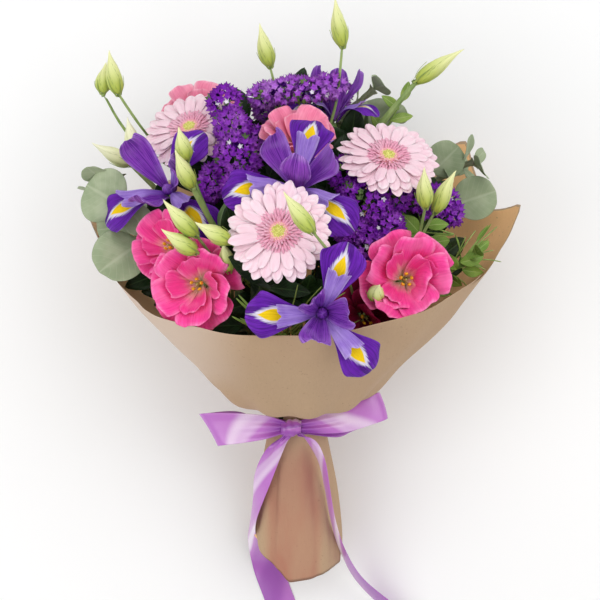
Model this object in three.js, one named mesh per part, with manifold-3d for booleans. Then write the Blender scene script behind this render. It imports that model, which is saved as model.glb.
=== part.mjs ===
// Mixed flower bouquet in a kraft paper wrap, tied with a satin ribbon and lying on its back.
// Millimetres, +Z up. Places are measured from a point on the bouquet's axis just below its neck:
// X to the right, Y towards the flowers, Z up, away from the surface the bouquet lies on.
import * as THREE from 'three';
import { mergeVertices } from 'three/addons/utils/BufferGeometryUtils.js';
import Module from 'manifold-3d';

const wasm = await Module();
wasm.setup();

// Driving dimensions
const axisRise = THREE.MathUtils.degToRad(23);
const surfaceLevel = -81.5;
const waist = 14;
const twineLevel = 8;
const clearance = 0.3;
const petalThickness = 0.9;
const leafThickness = 0.8;
const stemRadius = 2.7;
const stemSpacing = 5.75;
const stemEnd = -112;
const stemSpread = 1.28;
const stemTwist = THREE.MathUtils.degToRad(26);
const woodyStemRadius = 3.2;
const stemSides = 4;
const stalkRadius = 1.4;
const stalkSides = 3;
const paperThickness = 0.8;
const paperOverlap = 1.4;
const ribbonThickness = 1;
const ribbonWidth = 26;
const gerberaReach = 43;
const irisReach = 61;
const lisianthusReach = 38;
const budRadius = 6.6;
const floretHeight = 5;

const point = (x, y, z) => new THREE.Vector3(x, y, z);
const vector = (list) => point(...list);
const axis = point(0, Math.cos(axisRise), Math.sin(axisRise));
const front = point(0, -Math.sin(axisRise), Math.cos(axisRise));
const { degToRad, lerp, clamp } = THREE.MathUtils;

// A place given across the bouquet, towards its front and along its axis.
function fromAxis(across, forward, along) {
  return point(across, 0, 0).addScaledVector(front, forward).addScaledVector(axis, along);
}

const along = (place) => place.dot(axis);
const forward = (place) => place.dot(front);

// Seeded random numbers, the same on every run.
function randomFrom(seed) {
  let state = seed;
  return () => {
    state = (state + 0x6d2b79f5) | 0;
    let mixed = Math.imul(state ^ (state >>> 15), 1 | state);
    mixed = (mixed + Math.imul(mixed ^ (mixed >>> 7), 61 | mixed)) ^ mixed;
    return ((mixed ^ (mixed >>> 14)) >>> 0) / 4294967296;
  };
}

// Straight-line reading of a list of [position, value] pairs.
function readTable(table, position) {
  let index = 1;
  while (index < table.length - 1 && table[index][0] < position) index += 1;
  const [start, startValue] = table[index - 1];
  const [end, endValue] = table[index];
  return lerp(startValue, endValue, clamp((position - start) / (end - start), 0, 1));
}

// Materials
const matte = (color, roughness) => new THREE.MeshStandardMaterial({ color, roughness, metalness: 0 });
const kraft = matte('#b9966f', 0.85);
const satin = matte('#b96bd1', 0.35);
const twine = matte('#c9b48a', 0.9);
const gerberaPink = matte('#f3b9cd', 0.6);
const gerberaHeart = matte('#d98fa0', 0.8);
const irisViolet = matte('#4b34a8', 0.55);
const lisianthusPink = matte('#ee5c8a', 0.6);
const lisianthusCoral = matte('#f0808c', 0.6);
const lisianthusCrimson = matte('#a3213f', 0.6);
const staticePurple = matte('#5a2fa3', 0.75);
const stemGreen = matte('#6f9a45', 0.6);
const budGreen = matte('#b9cc7c', 0.55);
const budCream = matte('#dfe3ac', 0.55);
const sage = matte('#8fa893', 0.7);
const leafGreen = matte('#3c6b34', 0.65);
const sprigGreen = matte('#7fae45', 0.6);

// Solids from three.js geometry
function solidFrom(geometry) {
  const bare = geometry.clone();
  for (const name of Object.keys(bare.attributes)) {
    if (name !== 'position') bare.deleteAttribute(name);
  }
  const merged = mergeVertices(bare, 1e-4);
  const corners = merged.index.array;
  const triangles = [];
  for (let start = 0; start < corners.length; start += 3) {
    const [a, b, c] = corners.subarray(start, start + 3);
    if (a !== b && b !== c && c !== a) triangles.push(a, b, c);
  }
  const mesh = new wasm.Mesh({
    numProp: 3,
    vertProperties: new Float32Array(merged.attributes.position.array),
    triVerts: new Uint32Array(triangles),
  });
  return new wasm.Manifold(mesh);
}

function geometryFrom(solid) {
  const mesh = solid.getMesh();
  const geometry = new THREE.BufferGeometry();
  geometry.setAttribute('position', new THREE.BufferAttribute(new Float32Array(mesh.vertProperties), 3));
  geometry.setIndex(new THREE.BufferAttribute(new Uint32Array(mesh.triVerts), 1));
  geometry.computeVertexNormals();
  return geometry;
}

const join = (solids) => (solids.length === 1 ? solids[0] : wasm.Manifold.union(solids));

// A thin closed sheet over a grid of points, the same diagonals on both faces.
function sheetGeometry(rows, thickness) {
  const rowCount = rows.length;
  const columnCount = rows[0].length;
  const positions = [];
  for (const side of [0.5, -0.5]) {
    for (let i = 0; i < rowCount; i += 1) {
      for (let j = 0; j < columnCount; j += 1) {
        const down = rows[Math.min(i + 1, rowCount - 1)][j].clone().sub(rows[Math.max(i - 1, 0)][j]);
        const over = rows[i][Math.min(j + 1, columnCount - 1)].clone().sub(rows[i][Math.max(j - 1, 0)]);
        const normal = down.cross(over).normalize();
        positions.push(...rows[i][j].clone().addScaledVector(normal, side * thickness).toArray());
      }
    }
  }
  const under = rowCount * columnCount;
  const at = (i, j) => i * columnCount + j;
  const triangles = [];
  for (let i = 0; i < rowCount - 1; i += 1) {
    for (let j = 0; j < columnCount - 1; j += 1) {
      const [a, b, c, d] = [at(i, j), at(i + 1, j), at(i + 1, j + 1), at(i, j + 1)];
      triangles.push(a, b, c, a, c, d);
      triangles.push(under + a, under + c, under + b, under + a, under + d, under + c);
    }
  }
  const rim = [];
  for (let i = 0; i < rowCount - 1; i += 1) rim.push(at(i, 0));
  for (let j = 0; j < columnCount - 1; j += 1) rim.push(at(rowCount - 1, j));
  for (let i = rowCount - 1; i > 0; i -= 1) rim.push(at(i, columnCount - 1));
  for (let j = columnCount - 1; j > 0; j -= 1) rim.push(at(0, j));
  rim.forEach((p, index) => {
    const q = rim[(index + 1) % rim.length];
    triangles.push(q, p, under + p, q, under + p, under + q);
  });
  const geometry = new THREE.BufferGeometry();
  geometry.setAttribute('position', new THREE.Float32BufferAttribute(positions, 3));
  geometry.setIndex(triangles);
  return geometry;
}

// A ring of petals on one thin hub, as a single closed body. Each petal is a grid of points
// that starts at the hub, in order round the head's own Z.
function whorlGeometry(petals, thickness) {
  const upward = point(0, 0, 1);
  const positions = [];
  const triangles = [];
  const edge = (p, q) => triangles.push(q, p, p + 1, q, p + 1, q + 1);
  const face = (a, b, c) => triangles.push(a, b, c, a + 1, c + 1, b + 1);
  const addPair = (place, normal) => {
    const half = normal.clone().multiplyScalar(thickness / 2);
    positions.push(...place.clone().add(half).toArray(), ...place.clone().sub(half).toArray());
    return positions.length / 3 - 2;
  };
  const grids = petals.map((rows) => rows.map((row, i) => row.map((place, j) => {
    const down = rows[Math.min(i + 1, rows.length - 1)][j].clone().sub(rows[Math.max(i - 1, 0)][j]);
    const over = row[Math.min(j + 1, row.length - 1)].clone().sub(row[Math.max(j - 1, 0)]);
    const normal = down.cross(over).normalize();
    if (i === 0) normal.add(upward).normalize();
    return addPair(place, normal);
  })));
  const roots = grids.flatMap((grid) => grid[0]);
  const middle = Math.floor((grids[0][0].length - 1) / 2);
  const fans = [0, 1, 2].map((third) => middle + Math.round((third * roots.length) / 3));
  face(...fans.map((index) => roots[index]));
  fans.forEach((first, third) => {
    const last = third < 2 ? fans[third + 1] : fans[0] + roots.length;
    for (let index = first + 1; index < last; index += 1) {
      face(roots[first], roots[index % roots.length], roots[(index + 1) % roots.length]);
    }
  });
  grids.forEach((grid, index) => {
    const last = grid[0].length - 1;
    for (let i = 0; i < grid.length - 1; i += 1) {
      for (let j = 0; j < last; j += 1) {
        const [a, b, c, d] = [grid[i][j], grid[i + 1][j], grid[i + 1][j + 1], grid[i][j + 1]];
        face(a, b, c);
        face(a, c, d);
      }
      edge(grid[i][0], grid[i + 1][0]);
      edge(grid[i + 1][last], grid[i][last]);
    }
    const tip = grid[grid.length - 1];
    for (let j = 0; j < last; j += 1) edge(tip[j], tip[j + 1]);
    edge(grid[0][last], grids[(index + 1) % grids.length][0][0]);
  });
  const geometry = new THREE.BufferGeometry();
  geometry.setAttribute('position', new THREE.Float32BufferAttribute(positions, 3));
  geometry.setIndex(triangles);
  return geometry;
}

// A path whose extrusion steps fall exactly on the given points.
class PointPath extends THREE.Curve {
  constructor(points) {
    super();
    this.points = points;
  }

  getPoint(t) {
    const position = t * (this.points.length - 1);
    const index = Math.min(Math.floor(position), this.points.length - 2);
    return this.points[index].clone().lerp(this.points[index + 1], position - index);
  }

  getPointAt(t) {
    return this.getPoint(t);
  }

  getTangentAt(t) {
    const index = Math.round(t * (this.points.length - 1));
    const before = this.points[Math.max(index - 1, 0)];
    const after = this.points[Math.min(index + 1, this.points.length - 1)];
    return after.clone().sub(before).normalize();
  }
}

function polygon(radius, sides) {
  const corners = [];
  for (let side = 0; side < sides; side += 1) {
    const angle = (2 * Math.PI * side) / sides;
    corners.push(new THREE.Vector2(radius * Math.cos(angle), radius * Math.sin(angle)));
  }
  return new THREE.Shape(corners);
}

function rod(points, radius, sides) {
  const path = new PointPath(points);
  const settings = { steps: points.length - 1, bevelEnabled: false, extrudePath: path };
  return solidFrom(new THREE.ExtrudeGeometry(polygon(radius, sides), settings));
}

function turned(profile, sides) {
  const outline = profile.map(([radius, height]) => new THREE.Vector2(radius, height));
  const geometry = new THREE.LatheGeometry(outline, sides);
  geometry.rotateX(Math.PI / 2);
  return solidFrom(geometry);
}

// Frame of a head: its own Z is the way it faces, its own X stays to the right.
function headFrame(place, facing) {
  const z = facing.clone().normalize();
  const x = point(1, 0, 0).addScaledVector(z, -z.x).normalize();
  const y = z.clone().cross(x);
  return new THREE.Matrix4().makeBasis(x, y, z).setPosition(place);
}

const placedIn = (solid, frame) => solid.transform([...frame.elements]);

// Nodes and the rule that keeps them clear of each other
const nodes = new Map();

function noRoom(piece) {
  throw new Error(`No clear place for ${piece}`);
}

function startNode(name, material) {
  nodes.set(name, { material, pieces: [] });
}

function settle(name, solid) {
  nodes.get(name).pieces.push({ solid, box: solid.boundingBox() });
}

function boxesApart(one, other) {
  for (let way = 0; way < 3; way += 1) {
    if (one.min[way] > other.max[way] + clearance) return true;
    if (other.min[way] > one.max[way] + clearance) return true;
  }
  return false;
}

function clears(name, solid) {
  const box = solid.boundingBox();
  for (const [otherName, other] of nodes) {
    if (otherName === name) continue;
    for (const piece of other.pieces) {
      if (boxesApart(box, piece.box)) continue;
      if (solid.minGap(piece.solid, 2 * clearance) < clearance) return false;
    }
  }
  return true;
}

// Settles the first of several shapes of a piece that clears all other nodes.
function settleFirst(name, variants, make) {
  for (const variant of variants) {
    const solid = make(variant);
    if (solid && clears(name, solid)) {
      settle(name, solid);
      return variant;
    }
  }
  return null;
}

const petalBends = [];
for (const reach of [1, 0.86, 0.72, 0.6, 0.48]) {
  for (const swing of [0, 9, -9]) {
    for (const pitch of [0, 6, -6, 12, -12, 20, -20, 30, 42, 54]) petalBends.push({ reach, swing, pitch });
  }
}

// One petal in its head's frame. The spine is a list of [radius, height, half width, cup].
const waveAlong = 2.4;
const waveAcross = 2.1;
const waveAround = 5;

function petalRows(spine, { angle, columns = 3, wave = 0 }, bend) {
  const [rootRadius, rootHeight] = spine[0];
  const pitch = degToRad(bend.pitch);
  return spine.map(([radius, height, halfWidth, cup], index) => {
    const reachOut = (radius - rootRadius) * bend.reach;
    const reachUp = (height - rootHeight) * bend.reach;
    const middleOut = rootRadius + reachOut * Math.cos(pitch) - reachUp * Math.sin(pitch);
    const middleUp = rootHeight + reachOut * Math.sin(pitch) + reachUp * Math.cos(pitch);
    const before = spine[Math.max(index - 1, 0)];
    const after = spine[Math.min(index + 1, spine.length - 1)];
    const slope = Math.atan2(after[1] - before[1], after[0] - before[0]) + pitch;
    const turn = angle + (index === 0 ? 0 : degToRad(bend.swing));
    const row = [];
    for (let column = 0; column < columns; column += 1) {
      const share = (2 * column) / (columns - 1) - 1;
      const phase = index * waveAlong + share * waveAcross + angle * waveAround;
      const lift = cup * share * share + wave * Math.sin(phase) * (index / spine.length);
      const out = middleOut - lift * Math.sin(slope);
      const place = point(out, share * halfWidth, middleUp + lift * Math.cos(slope));
      row.push(place.applyAxisAngle(point(0, 0, 1), turn));
    }
    return row;
  });
}

const petalTouch = 0.1;

// A ring of petals: each takes the first bend that clears the other nodes and its own neighbours,
// and the earlier rings of its bloom too where it can.
function settleWhorl(name, frame, spine, angles, chosen, options = {}) {
  const thickness = options.thickness ?? petalThickness;
  const ring = [];
  const touches = (blade, others) => others.some((other) => blade.minGap(other, clearance) < petalTouch);
  const petals = [...angles].sort((one, other) => one - other).map((angle) => {
    let best = null;
    for (const bend of petalBends) {
      const rows = petalRows(spine, { ...options, angle }, bend);
      const blade = placedIn(solidFrom(sheetGeometry(rows, thickness)), frame);
      if (touches(blade, ring) || !clears(name, blade)) continue;
      const alone = !touches(blade, chosen);
      if (alone || !best) best = { rows, blade };
      if (alone) break;
    }
    if (best) {
      ring.push(best.blade);
      return best.rows;
    }
    return noRoom(`a petal of ${name}`);
  });
  chosen.push(...ring);
  settle(name, placedIn(solidFrom(whorlGeometry(petals, thickness)), frame));
}

function evenAngles(count, start) {
  return Array.from({ length: count }, (_, index) => start + (2 * Math.PI * index) / count);
}

// A slim core that joins the hubs of a head's whorls.
function settleCore(name, frame, radius, low, high) {
  settle(name, placedIn(turned([[0, low], [radius, low], [radius, high], [0, high]], 5), frame));
}

// Paper wrap: one sheet rolled round the axis, its outer edge lying over its inner one.
// Profile and pleats are [level, size]; rim and foot are [angle from the front, level].
const wrapProfile = [
  [-141, 40], [-100, 38], [-60, 33.5], [-3, 23.8], [16, 23.5], [24, 36], [29, 51], [35, 65], [50, 77],
  [65, 88], [80, 101], [100, 119], [120, 134], [140, 146], [165, 160], [190, 176], [213, 190],
];
const wrapRim = [
  [40, 154], [72, 162], [100, 181], [130, 213], [180, 190], [254, 172], [290, 139], [325, 143], [360, 148],
  [400, 157], [430, 163],
];
const wrapFoot = [[40, -134], [82, -129], [180, -129], [260, -99], [300, -118], [350, -141], [430, -132]];
const wrapPleats = [
  [-141, 0.6], [-60, 0.9], [-3, 0.25], [17, 0.3], [26, 2.6], [35, 3.4], [65, 1.8], [213, 1.6],
];
const wrapLevels = [-62, -4, 16, 25, 34, 66, 112];
const wrapRestLevel = 168;
const restShare = 0.72;
const restPress = 0.4;
const wrapStart = 40;
const wrapEnd = 430;
const wrapStep = 15;
const pleatCount = 12;
const wrapCorners = [{ angle: 100, size: 0.1 }, { angle: 254, size: 0.11 }];
const cornerSpread = 26;
const cornerStart = 110;
const cornerRun = 60;
const overlapAngle = 340;
const overlapRun = 30;
const handleDepth = 0.87;
const handleRun = 50;

function wrapPoint(angle, level) {
  const turn = degToRad(angle);
  let flare = 1;
  for (const corner of wrapCorners) {
    const nearness = Math.exp(-(((angle - corner.angle) / cornerSpread) ** 2));
    flare += corner.size * nearness * clamp((level - cornerStart) / cornerRun, 0, 1);
  }
  const pleat = readTable(wrapPleats, level) * Math.cos(pleatCount * (turn - degToRad(wrapStart)));
  const layer = paperOverlap * clamp((angle - overlapAngle) / overlapRun, 0, 1);
  const radius = readTable(wrapProfile, level) * flare + pleat + layer;
  const depth = lerp(1, handleDepth, clamp(-level / handleRun, 0, 1));
  const place = fromAxis(radius * Math.sin(turn), radius * Math.cos(turn) * depth, level);
  place.z = Math.max(place.z, surfaceLevel + restPress * paperThickness);
  return place;
}

function keepAboveSurface(geometry) {
  const corners = geometry.attributes.position;
  for (let index = 0; index < corners.count; index += 1) {
    corners.setZ(index, Math.max(corners.getZ(index), surfaceLevel));
  }
}

function buildPaperWrap() {
  startNode('paper_wrap', kraft);
  const rows = [];
  for (let angle = wrapStart; angle <= wrapEnd; angle += wrapStep) {
    const rim = readTable(wrapRim, angle);
    const restLevel = Math.min(wrapRestLevel, lerp(wrapLevels.at(-1), rim, restShare));
    const levels = [readTable(wrapFoot, angle), ...wrapLevels, restLevel, rim];
    rows.push(levels.map((level) => wrapPoint(angle, level)));
  }
  const geometry = sheetGeometry(rows, paperThickness);
  keepAboveSurface(geometry);
  settle('paper_wrap', solidFrom(geometry));
}

// Twine: two turns lying side by side round the stems.
const twineRing = { inner: 20.7, outer: 22.3, turnWidth: 2.4, groove: 0.8, sides: 14 };

function buildTwine() {
  startNode('binding_twine', twine);
  const { inner, outer, turnWidth, groove, sides } = twineRing;
  const profile = [
    [inner, -turnWidth], [outer, -turnWidth / 2], [outer - groove, 0],
    [outer, turnWidth / 2], [inner, turnWidth], [inner, -turnWidth],
  ];
  settle('binding_twine', placedIn(turned(profile, sides), headFrame(fromAxis(0, 0, twineLevel), axis)));
}

// Ribbon: a band over the paper, a knot, two loops and two tails, each given by [place, width way, width].
const ribbonBand = { inner: 26.5, low: 0, high: 13, sides: 20 };
const knotPlace = point(-5, -4, 33);
const knotHalf = point(8.5, 7, 6);
const leftLoop = [
  [point(-9.5, -3, 35), point(0, 1, 0.1), 9], [point(-26, -3, 35), point(-0.1, 1, 0), 20],
  [point(-50, -4, 31), point(-0.3, 1, 0.05), 27], [point(-71, -5, 28), point(-0.5, 0.86, 0.05), 32],
  [point(-74, -6, 22), point(-0.5, 0.86, 0.05), 32], [point(-69, -5, 16), point(-0.5, 0.86, 0.05), 30],
  [point(-48, -3, 14), point(-0.25, 1, 0), 25], [point(-30, -6, 22), point(-0.1, 1, 0), 16],
  [point(-10.5, -4, 31), point(0, 1, 0.1), 7],
];
const rightLoop = [
  [point(-0.5, -3, 35), point(0, 1, 0.1), 9], [point(20, -1, 34), point(-0.2, 1, 0), 16],
  [point(42, 3, 29), point(-0.25, 1, -0.1), 21], [point(66, 12, 27), point(-0.3, 0.95, 0), 24],
  [point(74, 15, 22), point(-0.3, 0.95, 0), 24], [point(68, 12, 16), point(-0.3, 0.95, 0), 24],
  [point(46, 2, 15), point(-0.2, 1, 0), 20], [point(32, -6, 20), point(-0.1, 1, 0), 14],
  [point(0.5, -4.5, 31), point(0, 1, 0.1), 7],
];
const leftTail = [
  [point(-7, -8.5, 34), point(1, 0.1, 0), 7], [point(-18, -20, 35), point(1, 0.35, 0), 19],
  [point(-31, -44, 20), point(0.9, 0.25, 0.45), 22], [point(-40, -70, -8), point(0.45, 0, 0.9), 22],
  [point(-47, -94, -40), point(0.2, 0, 0.98), 22], [point(-38, -118, -64), point(0.7, 0.2, 0.6), 24],
  [point(-27, -142, -79), point(0.93, 0.36, 0.06), ribbonWidth],
  [point(-11, -178, -80.6), point(0.95, 0.3, 0), ribbonWidth],
];
const rightTail = [
  [point(-1, -8, 34), point(0.7, -0.7, 0), 6], [point(11, -14, 35), point(0.6, -0.2, 0.6), 16],
  [point(21, -32, 27), point(0.35, 0, 0.93), 19], [point(26, -56, 14), point(0.25, 0.1, 0.96), 20],
  [point(33, -84, -2), point(0.35, 0.1, 0.93), 20], [point(44, -112, -26), point(0.4, 0.1, 0.9), 21],
  [point(58, -142, -62), point(0.5, 0.4, 0.75), 23], [point(78, -166, -79.5), point(0.6, 0.75, 0.1), 24],
  [point(93, -178, -80.6), point(0.62, 0.78, 0), 24],
];

function strip(stations) {
  const rows = stations.map(([middle, way, width]) => {
    const half = way.clone().normalize().multiplyScalar(width / 2);
    return [middle.clone().sub(half), middle.clone().add(half)];
  });
  const geometry = sheetGeometry(rows, ribbonThickness);
  keepAboveSurface(geometry);
  return solidFrom(geometry);
}

function buildRibbon() {
  startNode('satin_ribbon', satin);
  const { inner, low, high, sides } = ribbonBand;
  const outer = inner + ribbonThickness;
  const band = turned([[inner, low], [outer, low], [outer, high], [inner, high], [inner, low]], sides);
  settle('satin_ribbon', placedIn(band, headFrame(point(0, 0, 0), axis)));
  const knot = new THREE.SphereGeometry(1, 7, 4);
  knot.scale(...knotHalf.toArray()).translate(...knotPlace.toArray());
  settle('satin_ribbon', solidFrom(knot));
  for (const stations of [leftLoop, rightLoop, leftTail, rightTail]) {
    settle('satin_ribbon', strip(stations));
  }
}

// Heads: where each bloom sits, the way it faces, and how far below it its stem ends.
const gerberas = [
  { name: 'gerbera_centre', place: [-14, 158, 190], facing: [-0.1, 0.2, 0.97], turn: 0 },
  { name: 'gerbera_right', place: [74, 221, 122], facing: [0.15, 0.66, 0.74], turn: 9 },
  { name: 'gerbera_left', place: [-89, 248, 72], facing: [-0.25, 0.62, 0.74], turn: 4 },
];
const gerberaDepth = 15;
const irises = [
  { name: 'iris_low', place: [20, 94, 204], facing: [0.05, -0.1, 0.99], falls: [180, -49, 70] },
  { name: 'iris_centre', place: [0, 197, 160], facing: [0, 0.35, 0.94], falls: [-170, -40, 75] },
  { name: 'iris_left', place: [-108, 198, 92], facing: [-0.3, 0.35, 0.88], falls: [-156, 46, -50] },
  { name: 'iris_top', place: [32, 268, 62], facing: [0.1, 0.93, 0.36], falls: [205, 330, 90] },
];
const irisDepth = 20;
const lisianthusDepth = 21;
const sprays = [
  {
    name: 'lisianthus_left', place: [-80, 117, 158], facing: [-0.25, -0.08, 0.96], turn: 90,
    colour: lisianthusPink,
    blooms: [
      {
        name: 'lisianthus_bloom_upper_left', place: [-107, 151, 118], facing: [-0.5, 0.25, 0.83],
        turn: 90,
      },
    ],
    buds: [
      { base: [-78, 155, 176], tip: [-106, 182, 190] }, { base: [-51, 150, 189], tip: [-80, 164, 199] },
      { base: [-78, 142, 174], tip: [-107, 159, 186] }, { base: [-53, 127, 166], tip: [-59, 150, 176] },
    ],
    leaves: [0.45, 0.62],
  },
  {
    name: 'lisianthus_right', place: [87, 121, 158], facing: [0.15, 0, 0.98], turn: 45,
    colour: lisianthusPink,
    blooms: [],
    buds: [
      { base: [103, 178, 144], tip: [99, 210, 162] }, { base: [111, 175, 130], tip: [125, 209, 150] },
      { base: [61, 106, 168], tip: [64, 117, 182] },
    ],
    leaves: [0.45, 0.65, 0.8],
  },
  {
    name: 'lisianthus_top_left', place: [-84, 267, 40], facing: [-0.1, 0.75, 0.65], turn: 90,
    colour: lisianthusPink,
    blooms: [],
    buds: [
      { base: [-163, 278, 58], tip: [-161, 304, 64] }, { base: [-149, 276, 66], tip: [-158, 312, 78] },
    ],
    leaves: [0.5, 0.7],
  },
  {
    name: 'lisianthus_top', place: [0, 241, 108], facing: [0, 0.7, 0.7], turn: 90,
    colour: lisianthusCoral,
    blooms: [],
    buds: [
      { base: [-22, 299, 66], tip: [-33, 334, 80] }, { base: [38, 313, 88], tip: [29, 352, 104] },
    ],
    leaves: [0.55],
  },
  {
    name: 'lisianthus_low', place: [57, 90, 138], facing: [0.2, -0.1, 0.97], turn: 0,
    colour: lisianthusCrimson,
    blooms: [],
    buds: [{ base: [13, 156, 222], tip: [-12, 186, 238] }],
    leaves: [0.4],
  },
];
const budSprays = [
  {
    name: 'lisianthus_buds_right',
    buds: [{ base: [98, 285, 78], tip: [136, 313, 96] }],
    leaves: [0.6, 0.78],
  },
  {
    name: 'lisianthus_buds_left',
    buds: [
      { base: [-83, 194, 146], tip: [-98, 223, 166] }, { base: [-88, 217, 132], tip: [-96, 243, 146] },
    ],
    leaves: [0.5, 0.8],
  },
  {
    name: 'lisianthus_buds_pale', pale: true,
    buds: [
      { base: [-139, 219, 50], tip: [-173, 235, 62] }, { base: [-135, 225, 48], tip: [-144, 258, 60] },
    ],
    leaves: [0.6],
  },
];
const statices = [
  { name: 'statice_top', lobes: [[6, 271, 51, 32, 13]] },
  { name: 'statice_left', lobes: [[-49, 220, 110, 14, 17]] },
  { name: 'statice_right', lobes: [[54, 184, 128, 19, 15]] },
  { name: 'statice_low', lobes: [[112, 186, 96, 17, 12]] },
];
const eucalyptusBranches = [
  {
    name: 'eucalyptus_left', leafRadius: 25, seed: 11,
    route: [[-80, 92, 40], [-124, 140, 66], [-148, 176, 64], [-158, 204, 62]],
  },
  {
    name: 'eucalyptus_right', leafRadius: 22, seed: 12,
    route: [[56, 130, 10], [98, 190, 16], [132, 216, 26], [150, 222, 36]],
  },
  {
    name: 'eucalyptus_top', leafRadius: 21, seed: 13,
    route: [[6, 140, 10], [16, 220, 14], [40, 262, 30], [66, 284, 42]],
  },
];
const fillers = [
  {
    name: 'foliage_back', seed: 21,
    route: [[-10, 90, -20], [-20, 150, -34], [-30, 200, -30], [-38, 236, -12]],
  },
  {
    name: 'foliage_back_right', seed: 22,
    route: [[36, 80, 0], [76, 130, -8], [112, 168, 4], [128, 190, 24]],
  },
  {
    name: 'foliage_front', seed: 23,
    route: [[-26, 52, 64], [-40, 84, 116], [-34, 104, 140], [-24, 116, 158]],
  },
];
const sprigs = [
  {
    name: 'sprig_right', seed: 31, route: [[52, 60, 44], [98, 106, 78], [128, 130, 92], [146, 144, 100]],
    fan: [[152, 142, 112], [134, 116, 134], [154, 162, 92]],
  },
];
const grasses = [
  {
    name: 'grass_front', seed: 42, route: [[-6, 40, 44], [-12, 66, 96], [-12, 78, 128]],
    fan: [[-46, 92, 186], [-52, 110, 182], [48, 88, 176]],
  },
];

// Stems: each passes the waist in its own place of a close-packed bunch.
const stemList = [];

function addStem(name, top, facing, route = null, radius = stemRadius) {
  stemList.push({ name, top, facing, route, radius });
}

const slotRings = 3;
const bunchRadius = 17;
const shortestRise = 40;
const slotPasses = 40;

function packedSlots(rings) {
  const slots = [];
  for (let q = -rings; q <= rings; q += 1) {
    for (let s = -rings; s <= rings; s += 1) {
      if (Math.abs(q + s) > rings) continue;
      slots.push([stemSpacing * (q + s / 2), stemSpacing * s * Math.sqrt(3) / 2]);
    }
  }
  return slots.sort((one, other) => Math.hypot(...one) - Math.hypot(...other));
}

// Gives each stem the place in the bunch that lies on the side it leaves for.
// Returns the places that stay free, for a stem that its first place doesn't suit.
function assignSlots() {
  const slots = packedSlots(slotRings);
  const wanted = stemList.map(({ top, route }) => {
    const aim = route ? route[0] : top;
    const reach = bunchRadius / Math.max(along(aim) - waist, shortestRise);
    return [aim.x * reach, forward(aim) * reach];
  });
  const cost = (stem, slot) => {
    if (stem >= wanted.length) return 0;
    return (wanted[stem][0] - slots[slot][0]) ** 2 + (wanted[stem][1] - slots[slot][1]) ** 2;
  };
  const chosen = slots.map((_, index) => index);
  for (let pass = 0; pass < slotPasses; pass += 1) {
    for (let one = 0; one < wanted.length; one += 1) {
      for (let other = one + 1; other < chosen.length; other += 1) {
        const kept = cost(one, chosen[one]) + cost(other, chosen[other]);
        const swapped = cost(one, chosen[other]) + cost(other, chosen[one]);
        if (swapped < kept) [chosen[one], chosen[other]] = [chosen[other], chosen[one]];
      }
    }
  }
  stemList.forEach((stem, index) => { stem.slot = slots[chosen[index]]; });
  return chosen.slice(wanted.length).map((slot) => slots[slot]);
}

// Sideways bows that a stem or a stalk tries, the small ones first.
const stemBows = [[0, 0]];
for (const size of [7, 14, 22, 32, 44]) {
  for (let step = 0; step < 8; step += 1) {
    const way = (step * Math.PI) / 4;
    stemBows.push([size * Math.cos(way), size * Math.sin(way)]);
  }
}

const leavingShare = 0.33;
const arrivingShare = 0.36;
const slotSpread = 1.2;
const bunchDepth = 0.92;

function stemPoints({ slot, top, facing, route }, [bowAcross, bowForward]) {
  const [across, depth] = slot;
  const foot = new THREE.Vector2(across, depth).rotateAround(new THREE.Vector2(), stemTwist);
  foot.multiplyScalar(stemSpread);
  const points = [fromAxis(foot.x, foot.y * bunchDepth, stemEnd), fromAxis(across, depth, waist)];
  const start = points[1];
  const bow = fromAxis(bowAcross, bowForward, 0);
  if (route) {
    const above = [start, ...route.map((place, index) => (index < 2 ? place.clone().add(bow) : place))];
    const curve = new THREE.CatmullRomCurve3(above, false, 'centripetal');
    return points.concat(curve.getPoints(above.length).slice(1));
  }
  const length = start.distanceTo(top);
  const leaving = start.clone().addScaledVector(axis, length * leavingShare).add(bow);
  leaving.add(fromAxis(across * slotSpread, depth * slotSpread, 0));
  const arriving = top.clone().addScaledVector(facing, -length * arrivingShare).add(bow);
  const curve = new THREE.CubicBezierCurve3(start, leaving, arriving, top);
  return points.concat(curve.getPoints(4).slice(1));
}

const stemRoutes = new Map();

function buildStems() {
  const freeSlots = assignSlots();
  for (const stem of stemList) {
    const tries = [stem.slot, ...freeSlots].flatMap((slot) => stemBows.map((bow) => ({ slot, bow })));
    const done = settleFirst(stem.name, tries, ({ slot, bow }) => {
      stemRoutes.set(stem.name, stemPoints({ ...stem, slot }, bow));
      return rod(stemRoutes.get(stem.name), stem.radius, stemSides);
    });
    if (!done) noRoom(stem.name);
  }
}

// Gerbera: rays in two layers and a crown of short ones on thin hubs, a heart, a calyx.
const gerberaRays = 12;
const crownRays = 8;
const outerRay = [[6, -3.6, 1.25, 0], [25, -1.6, 6, 0], [gerberaReach, -2.4, 4.2, 0]];
const innerRay = [[6, -2.3, 1.25, 0], [21, 1.6, 5.4, 0], [gerberaReach * 0.84, 1.9, 3.7, 0]];
const crownRay = [[7, -1, 1.6, 0], [12.5, 4, 2.2, 0]];
const gerberaHeartProfile = [[0, -0.2], [6.6, -0.2], [6.9, 1.2], [4.6, 3.4], [2, 3.1], [0, 2]];
const gerberaCalyx = [
  [0, -gerberaDepth - 4], [3.1, -gerberaDepth - 3], [6.5, -9.5], [8.6, -4.5], [0, -4.5],
];

function buildGerberaStemEnd({ name, frame }) {
  settle(`${name}_stem`, placedIn(turned(gerberaCalyx, 7), frame));
}

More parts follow.
